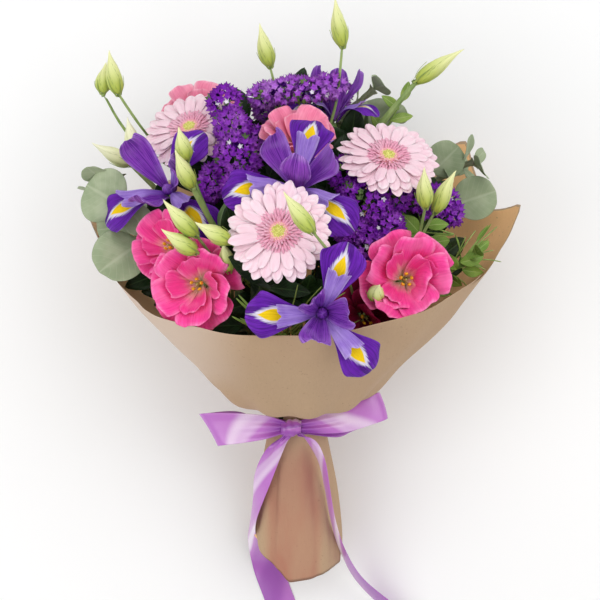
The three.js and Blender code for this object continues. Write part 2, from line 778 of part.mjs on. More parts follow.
function buildGerberaHead({ name, frame, turn }) {
  settle(`${name}_heart`, placedIn(turned(gerberaHeartProfile, 9), frame));
  const node = `${name}_petals`;
  const start = degToRad(turn);
  const halfStep = Math.PI / gerberaRays;
  const straight = { columns: 2 };
  const rays = [];
  settleCore(node, frame, 2.2, -3.6, -1);
  settleWhorl(node, frame, outerRay, evenAngles(gerberaRays, start), rays, straight);
  settleWhorl(node, frame, innerRay, evenAngles(gerberaRays, start + halfStep), rays, straight);
  settleWhorl(node, frame, crownRay, evenAngles(crownRays, start), rays, straight);
}

// Iris: three drooping falls, three standards between them, and a style arm over each fall.
const irisFall = [[5.5, -14, 2.6, 0.3], [22, 1, 6, 1.2], [46, 3, 15, -1.5], [irisReach, -7, 9, -3]];
const irisStandard = [[4, -11.8, 1.9, 0], [15, 8, 6.5, 1.5], [26, 30, 10, -2], [28, 48, 4.5, -3]];
const irisArm = [[2.6, -9.4, 1.4, 0], [16, 6, 5, -1.5], [30, 11, 6, -1.5], [37, 19, 4, 0]];

const irisSpathe = [
  [0, -irisDepth - 28], [3.3, -irisDepth - 26], [6, -irisDepth - 8], [4.2, -15.2], [0, -15.2],
];

function buildIrisStemEnd({ name, frame }) {
  settle(`${name}_stem`, placedIn(turned(irisSpathe, 6), frame));
}

// The middle of the narrower gap between each fall and the next.
function standardAngles(falls) {
  const ordered = [...falls].sort((one, other) => one - other);
  return ordered.map((fall, index) => {
    const next = index < ordered.length - 1 ? ordered[index + 1] : ordered[0] + 360;
    return (fall + next) / 2;
  });
}

function buildIrisHead({ name, frame, falls }) {
  const node = `${name}_bloom`;
  settleCore(node, frame, 1.2, -14, -9.4);
  const petals = [];
  settleWhorl(node, frame, irisFall, falls.map(degToRad), petals, { thickness: 1 });
  settleWhorl(node, frame, irisStandard, standardAngles(falls).map(degToRad), petals);
  settleWhorl(node, frame, irisArm, falls.map(degToRad), petals, { columns: 2 });
}

// Lisianthus: two rings of three broad ruffled petals round a smaller inner ring.
const outerPetal = [
  [5.5, -19.5, 3.2, 0], [18, -9, 12.5, 2.5], [32, 0, 18.5, 3], [lisianthusReach, 5, 14, -2],
];
const middlePetal = [[4, -17.8, 2.3, 0], [17, 0, 13.5, 3], [31, 16, 13, 1]];
const innerPetal = [[2.6, -16.1, 1.5, 0], [9, -1, 8, 2.5], [15, 12, 9.5, 4]];

function buildLisianthusBloom(name, { frame, turn }) {
  settleCore(name, frame, 1.1, -19.5, -16.1);
  const petals = [];
  const start = degToRad(turn);
  settleWhorl(name, frame, outerPetal, evenAngles(3, start), petals, { wave: 3 });
  settleWhorl(name, frame, middlePetal, evenAngles(3, start + Math.PI / 3), petals, { wave: 2.5 });
  settleWhorl(name, frame, innerPetal, evenAngles(3, start), petals, { wave: 1.5 });
}

const lisianthusCalyx = [
  [0, -lisianthusDepth - 9], [stalkRadius + 0.6, -lisianthusDepth - 8], [4.2, -20.8], [0, -20.8],
];

function settleCalyx(name, frame) {
  settle(name, placedIn(turned(lisianthusCalyx, 6), frame));
}

// A closed bud, its petals wound round each other: [share of the radius, share of the length].
const budProfile = [[0, 0], [0.86, 0.22], [1, 0.52], [0.55, 0.82], [0, 1]];
const budTwist = 0.9;

function budSolid(base, tip) {
  const length = base.distanceTo(tip);
  const outline = budProfile.map(([width, height]) => {
    return new THREE.Vector2(width * budRadius, height * length);
  });
  const geometry = new THREE.LatheGeometry(outline, 5).rotateX(Math.PI / 2);
  const corners = geometry.attributes.position;
  const place = point(0, 0, 0);
  for (let index = 0; index < corners.count; index += 1) {
    place.fromBufferAttribute(corners, index);
    place.applyAxisAngle(point(0, 0, 1), (budTwist * place.z) / length);
    corners.setXYZ(index, place.x, place.y, place.z);
  }
  const frame = headFrame(base, tip.clone().sub(base));
  return placedIn(solidFrom(geometry), frame);
}

const stalkTries = [];
for (const rise of [0.66, 0.5, 0.8, 0.35, 0.9]) {
  for (const bow of stemBows) stalkTries.push({ rise, bow });
}

function pointOnStem(name, share) {
  const points = stemRoutes.get(name).slice(1);
  return new PointPath(points).getPoint(share);
}

const stalkEase = 0.35;
const aheadShare = 0.1;

// A side stalk from somewhere on the main stem to the underside of a bud or a bloom.
function settleStalk(name, end, facing) {
  const done = settleFirst(name, stalkTries, ({ rise, bow }) => {
    const start = pointOnStem(name, rise);
    const ahead = pointOnStem(name, Math.min(rise + aheadShare, 1)).sub(start).normalize();
    const ease = stalkEase * start.distanceTo(end);
    const leaving = start.clone().addScaledVector(ahead, ease).add(fromAxis(...bow, 0));
    const arriving = end.clone().addScaledVector(facing, -ease);
    const curve = new THREE.CubicBezierCurve3(start, leaving, arriving, end);
    return rod(curve.getPoints(3), stalkRadius, stalkSides);
  });
  if (!done) noRoom(`a stalk of ${name}`);
}

const budShifts = [
  [0, 0, 0], [0, 0, 5], [5, 0, 0], [-5, 0, 0], [0, 5, 0], [0, -5, 0], [0, 0, 10], [0, 8, 6],
].map(vector);
const budSeat = 1.5;

// A bud at its place or a little beside it; its stalk ends just inside its base.
function settleBud(name, { base, tip }) {
  const start = vector(base);
  const end = vector(tip);
  const shift = settleFirst(name, budShifts, (move) => {
    return budSolid(start.clone().add(move), end.clone().add(move));
  });
  if (!shift) noRoom(`a bud of ${name}`);
  const facing = end.sub(start).normalize();
  return { end: start.add(shift).addScaledVector(facing, budSeat), facing };
}

// Leaves
const leafRootDepth = 1.1;
const leafLift = 0.14;
const lanceOutline = [[0, 0.13], [0.45, 1], [1, 0.14]];
const ovalOutline = [[0, 0.07], [0.45, 1], [1, 0.14]];
const roundOutline = [[0, 0.07], [0.24, 0.84], [0.7, 0.97], [1, 0.4]];

function leafSolid(foot, way, up, length, halfWidth, outline, curl) {
  const direction = way.clone().normalize();
  const root = foot.clone().addScaledVector(direction, leafRootDepth);
  const side = direction.clone().cross(up).normalize();
  const normal = side.clone().cross(direction);
  const rows = outline.map(([share, width]) => {
    const middle = root.clone().addScaledVector(direction, share * length);
    middle.addScaledVector(normal, leafLift * halfWidth - curl * share * share * length);
    return [1, -1].map((hand) => middle.clone().addScaledVector(side, hand * width * halfWidth));
  });
  return solidFrom(sheetGeometry(rows, leafThickness));
}

const leafTries = [];
for (const size of [1, 0.8, 0.62]) {
  for (const swing of [0, 14, -14, 28, -28, 44, -44, 65, -65]) {
    for (const lift of [0, 16, -16]) leafTries.push({ size, swing, lift });
  }
}

const leafBlades = new Map();

// A leaf tries its own place first, then swings and lifts a little until it is clear,
// of the other leaves on its stem too.
function settleLeaf(name, root, way, up, length, halfWidth, outline, curl) {
  const earlier = leafBlades.get(name) ?? [];
  const done = settleFirst(name, leafTries, ({ size, swing, lift }) => {
    const side = way.clone().cross(up).normalize();
    const turnedWay = way.clone().applyAxisAngle(up.clone().normalize(), degToRad(swing));
    turnedWay.applyAxisAngle(side, degToRad(lift));
    const blade = leafSolid(root, turnedWay, up, length * size, halfWidth * size, outline, curl);
    return earlier.some((other) => blade.minGap(other, 2 * clearance) < clearance) ? null : blade;
  });
  if (done) leafBlades.set(name, [...earlier, nodes.get(name).pieces.at(-1).solid]);
}

const stemLeaf = { length: 30, halfWidth: 5.5, curl: 0.15, spread: 1.3, turn: 1.5, lean: 0.9 };

// Narrow leaves on a spray's main stem: a pair at its first place, then one at each.
function settleStemLeaves(name, shares) {
  const { length, halfWidth, curl, spread, turn, lean } = stemLeaf;
  shares.forEach((share, index) => {
    const root = pointOnStem(name, share);
    const ahead = pointOnStem(name, share + 0.05).sub(root).normalize();
    const outward = root.clone().addScaledVector(axis, -along(root)).normalize();
    for (const hand of index % 2 ? [1] : [-1, 1]) {
      const way = outward.clone().applyAxisAngle(ahead, hand * spread + index * turn);
      way.addScaledVector(ahead, lean);
      settleLeaf(name, root, way, ahead, length, halfWidth, lanceOutline, curl);
    }
  });
}

const branchTurn = 1.45;
const tipInset = 3;

// Leafy branch: pairs of leaves along the part of the stem above the paper's waist.
function settleBranchLeaves(name, seed, { first, pairs, length, halfWidth, outline, curl }) {
  const random = randomFrom(seed);
  for (let pair = 0; pair < pairs; pair += 1) {
    const share = lerp(first, 0.97, pair / (pairs - 1));
    const root = pointOnStem(name, share);
    const before = pointOnStem(name, share - 0.04);
    const ahead = pointOnStem(name, Math.min(share + 0.02, 1)).sub(before).normalize();
    const spin = pair * branchTurn + random() * 0.6;
    const across = ahead.clone().cross(front).normalize().applyAxisAngle(ahead, spin);
    for (const hand of [1, -1]) {
      const way = across.clone().multiplyScalar(hand).addScaledVector(ahead, 0.55 + random() * 0.4);
      const scale = 0.85 + random() * 0.3;
      settleLeaf(name, root, way, ahead, length * scale, halfWidth * scale, outline, curl);
    }
  }
  const tip = pointOnStem(name, 1);
  const way = tip.clone().sub(pointOnStem(name, 0.9)).normalize();
  const facing = front.clone().addScaledVector(axis, 0.2);
  settleLeaf(name, tip.addScaledVector(way, -tipInset), way, facing, length, halfWidth, outline, curl);
}

// Statice: small papery florets raised from every other face of a faceted core.
function coreFaces(detail) {
  const geometry = new THREE.IcosahedronGeometry(1, detail);
  geometry.deleteAttribute('normal');
  geometry.deleteAttribute('uv');
  const merged = mergeVertices(geometry, 1e-4);
  const corners = [];
  for (let index = 0; index < merged.attributes.position.count; index += 1) {
    corners.push(point(0, 0, 0).fromBufferAttribute(merged.attributes.position, index));
  }
  const faces = [];
  for (let start = 0; start < merged.index.count; start += 3) {
    faces.push([...merged.index.array.slice(start, start + 3)]);
  }
  return { corners, faces };
}

const sharesEdge = (one, other) => one.filter((corner) => other.includes(corner)).length === 2;

function everyOtherFace(faces) {
  const chosen = [];
  for (const face of faces) {
    if (!chosen.some((other) => sharesEdge(face, other))) chosen.push(face);
  }
  return chosen;
}

function meshSolid(corners, triangles) {
  const geometry = new THREE.BufferGeometry();
  const numbers = corners.flatMap((corner) => corner.toArray());
  geometry.setAttribute('position', new THREE.Float32BufferAttribute(numbers, 3));
  geometry.setIndex(triangles.flat());
  return solidFrom(geometry);
}

const lobeSizes = [1, 0.9, 0.8, 0.7, 0.6];
const lobeShifts = [
  [0, 0, 0], [0, 0, 7], [0, 7, 0], [7, 0, 0], [-7, 0, 0], [0, -7, 0], [0, 0, -7],
].map(vector);
const floretTaper = 0.05;
const floretDimple = 0.45;
const lobeCore = coreFaces(1);
const seatGap = clearance + 0.05;
const seatPasses = 4;

// A floret on one face: corners 0 to 2 are its foot, 3 to 5 its rim and 6 its dimpled middle.
const floretSides = [[0, 1, 4], [0, 4, 3], [1, 2, 5], [1, 5, 4], [2, 0, 3], [2, 3, 5]];
const floretCup = [[3, 4, 6], [4, 5, 6], [5, 3, 6]];
const floretFaces = [...floretSides, ...floretCup];
const floretFoot = [0, 2, 1];

function floretCorners(foot, centre) {
  const middle = foot.reduce((sum, corner) => sum.add(corner), point(0, 0, 0)).divideScalar(3);
  const away = middle.clone().sub(centre).normalize();
  const rim = foot.map((corner) => {
    return corner.clone().lerp(middle, floretTaper).addScaledVector(away, floretHeight);
  });
  return [...rim, middle.addScaledVector(away, floretHeight * floretDimple)];
}

// The corners of a lobe's core, lowered until it sits just clear of the end of its stem.
function seatedCore({ name, facing }, centre, reach) {
  const stem = join(nodes.get(`${name}_stem`).pieces.map(({ solid }) => solid));
  const { corners, faces } = lobeCore;
  for (let pass = 0; pass < seatPasses; pass += 1) {
    const placed = corners.map((corner) => corner.clone().multiply(reach).add(centre));
    const gap = meshSolid(placed, faces).minGap(stem, 4 * floretHeight);
    centre.addScaledVector(facing, seatGap - gap);
  }
  return corners.map((corner) => corner.clone().multiply(reach).add(centre));
}

function settleStaticeLobe(statice, [x, y, z, across, deep]) {
  const node = `${statice.name}_florets`;
  const { faces } = lobeCore;
  const variants = lobeSizes.flatMap((size) => lobeShifts.map((shift) => ({ size, shift })));
  for (const { size, shift } of variants) {
    const centre = point(x, y, z).add(shift);
    const placed = seatedCore(statice, centre, point(across, deep, deep).multiplyScalar(size));
    if (!clears(node, meshSolid(placed, faces))) continue;
    const raised = everyOtherFace(faces);
    const body = faces.filter((face) => !raised.includes(face));
    for (const face of raised) {
      const foot = face.map((corner) => placed[corner]);
      const crown = floretCorners(foot, centre);
      if (!clears(node, meshSolid([...foot, ...crown], [...floretFaces, floretFoot]))) {
        body.push(face);
        continue;
      }
      const numbers = [...face, ...crown.map((_, index) => placed.length + index)];
      placed.push(...crown);
      body.push(...floretFaces.map((triangle) => triangle.map((corner) => numbers[corner])));
    }
    settle(node, meshSolid(placed, body));
    return;
  }
  noRoom(node);
}

// Grass: long thin blades arching out of one clump, two towards each aim of its fan.
const grassHalfWidths = [1.6, 1.5, 1.2, 0.5];
const grassFlat = point(0.8, 0.5, 0.3).normalize();
const grassThickness = 0.7;
const grassScatter = point(16, 16, 14);
const grassBows = stemBows.slice(0, 17);

function buildGrassBlades({ name, seed, fan }) {
  const random = randomFrom(seed);
  let feet = 0;
  for (const aim of fan.flatMap((place) => [place, place])) {
    const scatter = point(random() - 0.5, random() - 0.5, random() - 0.5).multiply(grassScatter);
    const end = vector(aim).add(scatter);
    const root = pointOnStem(name, 0.98 - 0.05 * feet);
    feet += 1;
    const middle = root.clone().lerp(end, 0.5).addScaledVector(front, 8 + 6 * random());
    settleFirst(name, grassBows, (bow) => {
      const curve = new THREE.QuadraticBezierCurve3(root, middle.clone().add(fromAxis(...bow, 0)), end);
      const rows = curve.getPoints(grassHalfWidths.length - 1).map((place, index) => {
        const half = grassFlat.clone().multiplyScalar(grassHalfWidths[index]);
        return [place.clone().sub(half), place.clone().add(half)];
      });
      return solidFrom(sheetGeometry(rows, grassThickness));
    });
  }
}

// Assembly
function stateHead(head, depth, stemName) {
  head.facing = vector(head.facing).normalize();
  head.place = vector(head.place);
  head.frame = headFrame(head.place, head.facing);
  addStem(stemName, head.place.clone().addScaledVector(head.facing, -depth), head.facing);
}

function stateStems() {
  for (const gerbera of gerberas) {
    startNode(`${gerbera.name}_stem`, stemGreen);
    stateHead(gerbera, gerberaDepth, `${gerbera.name}_stem`);
  }
  for (const iris of irises) {
    startNode(`${iris.name}_stem`, stemGreen);
    stateHead(iris, irisDepth + 10, `${iris.name}_stem`);
  }
  for (const spray of sprays) {
    startNode(`${spray.name}_spray`, budGreen);
    stateHead(spray, lisianthusDepth + 4, `${spray.name}_spray`);
  }
  for (const spray of budSprays) {
    startNode(`${spray.name}_spray`, spray.pale ? budCream : budGreen);
    const base = vector(spray.buds[0].base);
    const facing = vector(spray.buds[0].tip).sub(base).normalize();
    addStem(`${spray.name}_spray`, base.clone().addScaledVector(facing, budSeat), facing);
  }
  for (const statice of statices) {
    startNode(`${statice.name}_stem`, stemGreen);
    const [x, y, z, , deep] = statice.lobes[0];
    const place = point(x, y, z);
    statice.facing = place.clone().normalize().add(axis).normalize();
    addStem(`${statice.name}_stem`, place.addScaledVector(statice.facing, -deep), statice.facing);
  }
  for (const branch of eucalyptusBranches) {
    startNode(branch.name, sage);
    addStem(branch.name, null, null, branch.route.map(vector));
  }
  for (const filler of fillers) {
    startNode(filler.name, leafGreen);
    addStem(filler.name, null, null, filler.route.map(vector), woodyStemRadius);
  }
  for (const sprig of sprigs) {
    startNode(sprig.name, sprigGreen);
    addStem(sprig.name, null, null, sprig.route.map(vector));
  }
  for (const grass of grasses) {
    startNode(grass.name, sprigGreen);
    addStem(grass.name, null, null, grass.route.map(vector));
  }
}

function buildSpray(spray) {
  const name = `${spray.name}_spray`;
  const ends = [];
  for (const bloom of spray.blooms ?? []) {
    settleCalyx(name, bloom.frame);
    const end = bloom.place.clone().addScaledVector(bloom.facing, -lisianthusDepth - 6);
    ends.push({ end, facing: bloom.facing });
  }
  for (const bud of spray.buds) ends.push(settleBud(name, bud));
  ends.forEach((stalk, index) => {
    const carriedByStem = !spray.frame && index === 0;
    if (!carriedByStem) settleStalk(name, stalk.end, stalk.facing);
  });
  return name;
}

buildPaperWrap();
buildTwine();
buildRibbon();
stateStems();
buildStems();

for (const gerbera of gerberas) {
  startNode(`${gerbera.name}_heart`, gerberaHeart);
  startNode(`${gerbera.name}_petals`, gerberaPink);
  buildGerberaStemEnd(gerbera);
}
for (const iris of irises) {
  startNode(`${iris.name}_bloom`, irisViolet);
  buildIrisStemEnd(iris);
}
for (const spray of sprays) {
  startNode(`${spray.name}_bloom`, spray.colour);
  settleCalyx(`${spray.name}_spray`, spray.frame);
  for (const bloom of spray.blooms) {
    bloom.facing = vector(bloom.facing).normalize();
    bloom.place = vector(bloom.place);
    bloom.frame = headFrame(bloom.place, bloom.facing);
    startNode(bloom.name, spray.colour);
  }
}
for (const gerbera of gerberas) buildGerberaHead(gerbera);
for (const spray of [...sprays, ...budSprays]) buildSpray(spray);
for (const iris of irises) buildIrisHead(iris);
for (const spray of sprays) {
  buildLisianthusBloom(`${spray.name}_bloom`, spray);
  for (const bloom of spray.blooms) buildLisianthusBloom(bloom.name, bloom);
}
for (const statice of statices) {
  startNode(`${statice.name}_florets`, staticePurple);
  for (const lobe of statice.lobes) settleStaticeLobe(statice, lobe);
}
for (const branch of eucalyptusBranches) {
  const radius = branch.leafRadius / 2;
  settleBranchLeaves(branch.name, branch.seed, {
    first: 0.58, pairs: 4, length: 2.1 * radius + 8, halfWidth: radius, outline: roundOutline, curl: 0.1,
  });
}
for (const { name, leaves } of [...sprays, ...budSprays]) settleStemLeaves(`${name}_spray`, leaves);
for (const sprig of sprigs) {
  settleBranchLeaves(sprig.name, sprig.seed, {
    first: 0.55, pairs: 4, length: 24, halfWidth: 4.5, outline: lanceOutline, curl: 0.2,
  });
}
for (const clump of [...sprigs, ...grasses]) buildGrassBlades(clump);
for (const filler of fillers) {
  settleBranchLeaves(filler.name, filler.seed, {
    first: 0.5, pairs: 3, length: 52, halfWidth: 12, outline: ovalOutline, curl: 0.15,
  });
}

// Each node's pieces become one body; a scrap that no longer touches it is dropped.
const flatWithin = 0.01;
const bouquet = new THREE.Group();
const bounds = new THREE.Box3();
for (const [name, { material, pieces }] of nodes) {
  const bodies = join(pieces.map(({ solid }) => solid)).decompose();
  const body = bodies.reduce((largest, other) => (other.volume() > largest.volume() ? other : largest));
  const mesh = new THREE.Mesh(geometryFrom(body.simplify(flatWithin)), material);
  mesh.name = name;
  mesh.geometry.computeBoundingBox();
  bounds.union(mesh.geometry.boundingBox);
  bouquet.add(mesh);
}

// The origin is the middle of the underside of the whole.
bouquet.position.set(
  -(bounds.min.x + bounds.max.x) / 2,
  -(bounds.min.y + bounds.max.y) / 2,
  -bounds.min.z,
);

export default bouquet;
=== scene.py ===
import math
from random import Random

import bmesh
import bpy
from mathutils import Matrix, Vector, noise
from mathutils.bvhtree import BVHTree


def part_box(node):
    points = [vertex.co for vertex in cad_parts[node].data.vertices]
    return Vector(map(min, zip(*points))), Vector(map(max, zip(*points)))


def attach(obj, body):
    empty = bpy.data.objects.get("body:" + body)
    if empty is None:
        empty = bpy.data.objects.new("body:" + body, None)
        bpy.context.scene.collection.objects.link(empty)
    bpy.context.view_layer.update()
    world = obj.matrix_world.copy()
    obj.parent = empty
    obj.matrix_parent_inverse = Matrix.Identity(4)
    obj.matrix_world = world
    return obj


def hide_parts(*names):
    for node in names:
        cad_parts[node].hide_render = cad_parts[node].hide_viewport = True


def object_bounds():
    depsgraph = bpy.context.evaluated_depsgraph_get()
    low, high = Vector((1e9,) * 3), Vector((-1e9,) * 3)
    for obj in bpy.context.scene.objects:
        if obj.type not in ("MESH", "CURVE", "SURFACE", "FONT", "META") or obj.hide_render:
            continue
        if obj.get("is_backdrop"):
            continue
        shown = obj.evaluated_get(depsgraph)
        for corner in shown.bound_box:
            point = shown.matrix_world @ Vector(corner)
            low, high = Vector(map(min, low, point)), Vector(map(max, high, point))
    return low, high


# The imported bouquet: flowers in a kraft paper wrap, tied with a satin ribbon, lying on its back.
# Its places are given in millimetres from a point on its axis just below the neck.
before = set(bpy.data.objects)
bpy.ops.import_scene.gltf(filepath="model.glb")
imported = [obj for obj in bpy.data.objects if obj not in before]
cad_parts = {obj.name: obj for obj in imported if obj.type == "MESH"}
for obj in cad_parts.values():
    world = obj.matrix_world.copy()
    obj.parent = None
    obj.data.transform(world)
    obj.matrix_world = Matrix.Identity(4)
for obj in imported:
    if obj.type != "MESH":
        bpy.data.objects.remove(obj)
cad_low, cad_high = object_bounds()
mm = 0.001
axis_rise = math.radians(23)
axis = Vector((0, math.cos(axis_rise), math.sin(axis_rise)))
front = Vector((0, -math.sin(axis_rise), math.cos(axis_rise)))
twine_level = 8
twine_low, twine_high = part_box("binding_twine")
neck = (twine_low + twine_high) / 2 - axis * twine_level * mm


def at(x, y, z):
    return neck + Vector((x, y, z)) * mm


# Camera, floor and light. The camera looks straight down on the bouquet from almost two metres,
# and a pale floor, a bright even sky and three large soft lamps light it without hard shadows.
camera_place = (2.6, 104.8, 1870)
scene = bpy.context.scene
scene.view_settings.view_transform = "Standard"
bpy.ops.object.camera_add(location=at(*camera_place), rotation=(0, 0, 0))
camera = bpy.context.object
camera.name = "Camera"
camera.data.sensor_width = 36
camera.data.lens = 129.6
scene.camera = camera

bpy.ops.mesh.primitive_plane_add(size=9, location=(0, 0, -0.0004))
floor = bpy.context.object
floor.name = "floor"
floor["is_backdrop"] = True

scene.world = bpy.data.worlds.new("Studio")
scene.world.use_nodes = True
sky = scene.world.node_tree.nodes["Background"]
sky.inputs["Color"].default_value = (1, 1, 1, 1)
sky.inputs["Strength"].default_value = 0.62

lamps = [
    ("lamp_key", (-1.2, -0.3, 1.7), 1.5, 11.5),
    ("lamp_fill", (1.2, 0.3, 1.8), 1.6, 10.5),
    ("lamp_top", (0.1, 1.1, 2.0), 1.8, 12.5),
]
for name, place, size, power in lamps:
    aim = Vector((0, 0.05, 0.1)) - Vector(place)
    bpy.ops.object.light_add(type="AREA", location=place, rotation=aim.to_track_quat("-Z", "Y").to_euler())
    lamp = bpy.context.object
    lamp.name = name
    lamp.data.size = size
    lamp.data.energy = power


# Finishes are built from a few kinds of shader node. A value given to one of these is a number,
# a colour or another node's output.
def feed(tree, socket, value):
    if isinstance(value, bpy.types.NodeSocket):
        tree.links.new(value, socket)
    elif socket.type == "RGBA" and len(value) == 3:
        socket.default_value = (*value, 1)
    else:
        socket.default_value = value


def mixed(tree, share, first, second):
    made = tree.nodes.new("ShaderNodeMix")
    made.data_type = "RGBA"
    feed(tree, made.inputs[0], share)
    feed(tree, made.inputs[6], first)
    feed(tree, made.inputs[7], second)
    return made.outputs[2]


def cloudy(tree, place, stretch, detail=3.0, roughness=0.5):
    scaled = tree.nodes.new("ShaderNodeMapping")
    feed(tree, scaled.inputs["Vector"], place)
    scaled.inputs["Scale"].default_value = stretch
    made = tree.nodes.new("ShaderNodeTexNoise")
    feed(tree, made.inputs["Vector"], scaled.outputs[0])
    made.inputs["Scale"].default_value = 1
    made.inputs["Detail"].default_value = detail
    made.inputs["Roughness"].default_value = roughness
    return made.outputs["Fac"]


def object_place(tree):
    return tree.nodes.new("ShaderNodeTexCoord").outputs["Object"]


def start_finish(name, **constants):
    material = bpy.data.materials.new(name)
    material.use_nodes = True
    shader = material.node_tree.nodes["Principled BSDF"]
    for socket, value in constants.items():
        feed(material.node_tree, shader.inputs[socket.replace("_", " ")], value)
    return material, material.node_tree, shader


floor_finish, tree, shader = start_finish("Pale floor", Roughness=0.9)
tone = cloudy(tree, object_place(tree), (3, 3, 3))
feed(tree, shader.inputs["Base Color"], mixed(tree, tone, (0.91, 0.91, 0.91), (0.93, 0.93, 0.93)))
floor.data.materials.append(floor_finish)


# Paper wrap. One sheet of brown kraft paper rolled round the stems, gathered at the neck and
# flaring into a wide cone above it, its free edge lapped over at the right.
# Angles run in degrees round the axis from the front, levels in millimetres along it from the neck.
wrap_profile = [
    (-141, 40), (-100, 38), (-60, 33.5), (-3, 23.8), (16, 23.5), (24, 36), (29, 51), (35, 65), (50, 77),
    (65, 88), (80, 101), (100, 119), (120, 134), (140, 146), (165, 160), (190, 176), (213, 190),
]
wrap_rim = [
    (40, 154), (72, 160), (90, 170), (96.2, 177), (100, 192), (103.8, 181), (111, 171), (121, 189),
    (126.2, 200), (130, 219), (133.8, 206), (140, 199), (180, 190), (246, 167), (253.8, 180), (262, 163),
    (290, 139), (325, 143), (360, 148), (400, 157), (430, 163),
]
wrap_foot = [
    (40, -133), (82, -129), (180, -129), (260, -99), (300, -113), (336, -131), (350, -142), (362, -140),
    (430, -131),
]
wrap_pleats = [
    (-141, 0.35), (-60, 1.2), (-3, 0.25), (17, 0.3), (26, 2.6), (35, 3.4), (65, 1.8), (213, 1.6),
]
wrap_levels = [-110, -86, -62, -42, -22, -4, 5, 11, 16, 20.5, 25, 29.5, 34, 42, 53, 66, 80, 96, 112]
above_levels = 5
wrap_middle, half_turn = 235, 195
free_edge = 40
pleat_count = 12
wrap_corners = [(100, 0.1), (254, 0.11)]
corner_spread = 26
corner_level = 110
lap_start, lap_lift = 340, 1.4
handle_gather = 1.5
handle_flatness = 0.13
crumple_depth, crease_depth = 1.3, 1.1
paper_thickness = 0.5


def bent_grid(name, across, along, place):
    """A grid bent to shape: place says where a corner goes, from its share across (-1 to 1)
    and along (0 to 1)."""
    bpy.ops.mesh.primitive_grid_add(x_subdivisions=across, y_subdivisions=along, size=2)
    piece = bpy.context.object
    piece.name = name
    for corner in piece.data.vertices:
        corner.co = place(corner.co.x, (corner.co.y + 1) / 2)
    return piece


def finish_sheet(piece, thickness, levels=0, inner_material=0):
    solid = piece.modifiers.new("Thickness", "SOLIDIFY")
    solid.thickness = thickness * mm
    solid.offset = 0
    solid.material_offset = inner_material
    if levels:
        smoothing = piece.modifiers.new("Smoothing", "SUBSURF")
        smoothing.levels = levels
        smoothing.render_levels = levels
    bpy.context.view_layer.objects.active = piece
    for modifier in list(piece.modifiers):
        bpy.ops.object.modifier_apply(modifier=modifier.name)
    piece.data.shade_smooth()
    return piece


def read_table(table, position):
    """Straight-line reading of a list of [position, value] pairs."""
    for (start, low), (end, high) in zip(table, table[1:]):
        if position <= end:
            return low + (high - low) * min(max((position - start) / (end - start), 0), 1)
    return table[-1][1]


def wrap_level(angle, row):
    rim = read_table(wrap_rim, angle)
    if row == 0:
        return read_table(wrap_foot, angle)
    if row <= len(wrap_levels):
        return wrap_levels[row - 1]
    share = (row - len(wrap_levels)) / above_levels
    return wrap_levels[-1] + (rim - wrap_levels[-1]) * share


def wrap_place(angle, level):
    turn = math.radians(angle)
    flare = 1
    for corner, size in wrap_corners:
        nearness = math.exp(-(((angle - corner) / corner_spread) ** 2))
        flare += size * nearness * min(max((level - corner_level) / 60, 0), 1)
    pleat = read_table(wrap_pleats, level) * math.cos(pleat_count * (turn - math.radians(free_edge)))
    layer = lap_lift * min(max((angle - lap_start) / 30, 0), 1)
    crumple = noise.noise(Vector((math.sin(turn) * 2.1, math.cos(turn) * 2.1, level / 46)))
    crease = noise.noise(Vector((math.sin(turn) * 7.5, math.cos(turn) * 7.5, level / 130)))
    gather = min(max((level - 30) / 60, 0), 1) if level > 0 else handle_gather * min(-level / 60, 1)
    radius = read_table(wrap_profile, level) * flare + pleat + layer
    radius += gather * (crumple_depth * crumple + crease_depth * crease)
    depth = 1 - handle_flatness * min(max(-level / 50, 0), 1)
    place = neck + Vector((radius * math.sin(turn), 0, 0)) * mm
    place += (front * radius * math.cos(turn) * depth + axis * level) * mm
    place.z = max(place.z, paper_thickness / 2 * mm)
    return place


wrap_rows = len(wrap_levels) + above_levels


def wrap_corner(side, share):
    angle = wrap_middle + half_turn * side
    return wrap_place(angle, wrap_level(angle, round(share * wrap_rows)))


paper_wrap = bent_grid("kraft_wrap", 104, wrap_rows, wrap_corner)


def maths(tree, operation, *values):
    made = tree.nodes.new("ShaderNodeMath")
    made.operation = operation
    for socket, value in zip(made.inputs, values):
        feed(tree, socket, value)
    return made.outputs[0]


def eased(tree, value, low, high, to_low=0.0, to_high=1.0):
    made = tree.nodes.new("ShaderNodeMapRange")
    made.interpolation_type = "SMOOTHSTEP"
    for socket, number in zip(made.inputs, (value, low, high, to_low, to_high)):
        feed(tree, socket, number)
    return made.outputs[0]


def relief(tree, height, strength, depth):
    made = tree.nodes.new("ShaderNodeBump")
    made.inputs["Strength"].default_value = strength
    made.inputs["Distance"].default_value = depth
    feed(tree, made.inputs["Height"], height)
    return made.outputs[0]


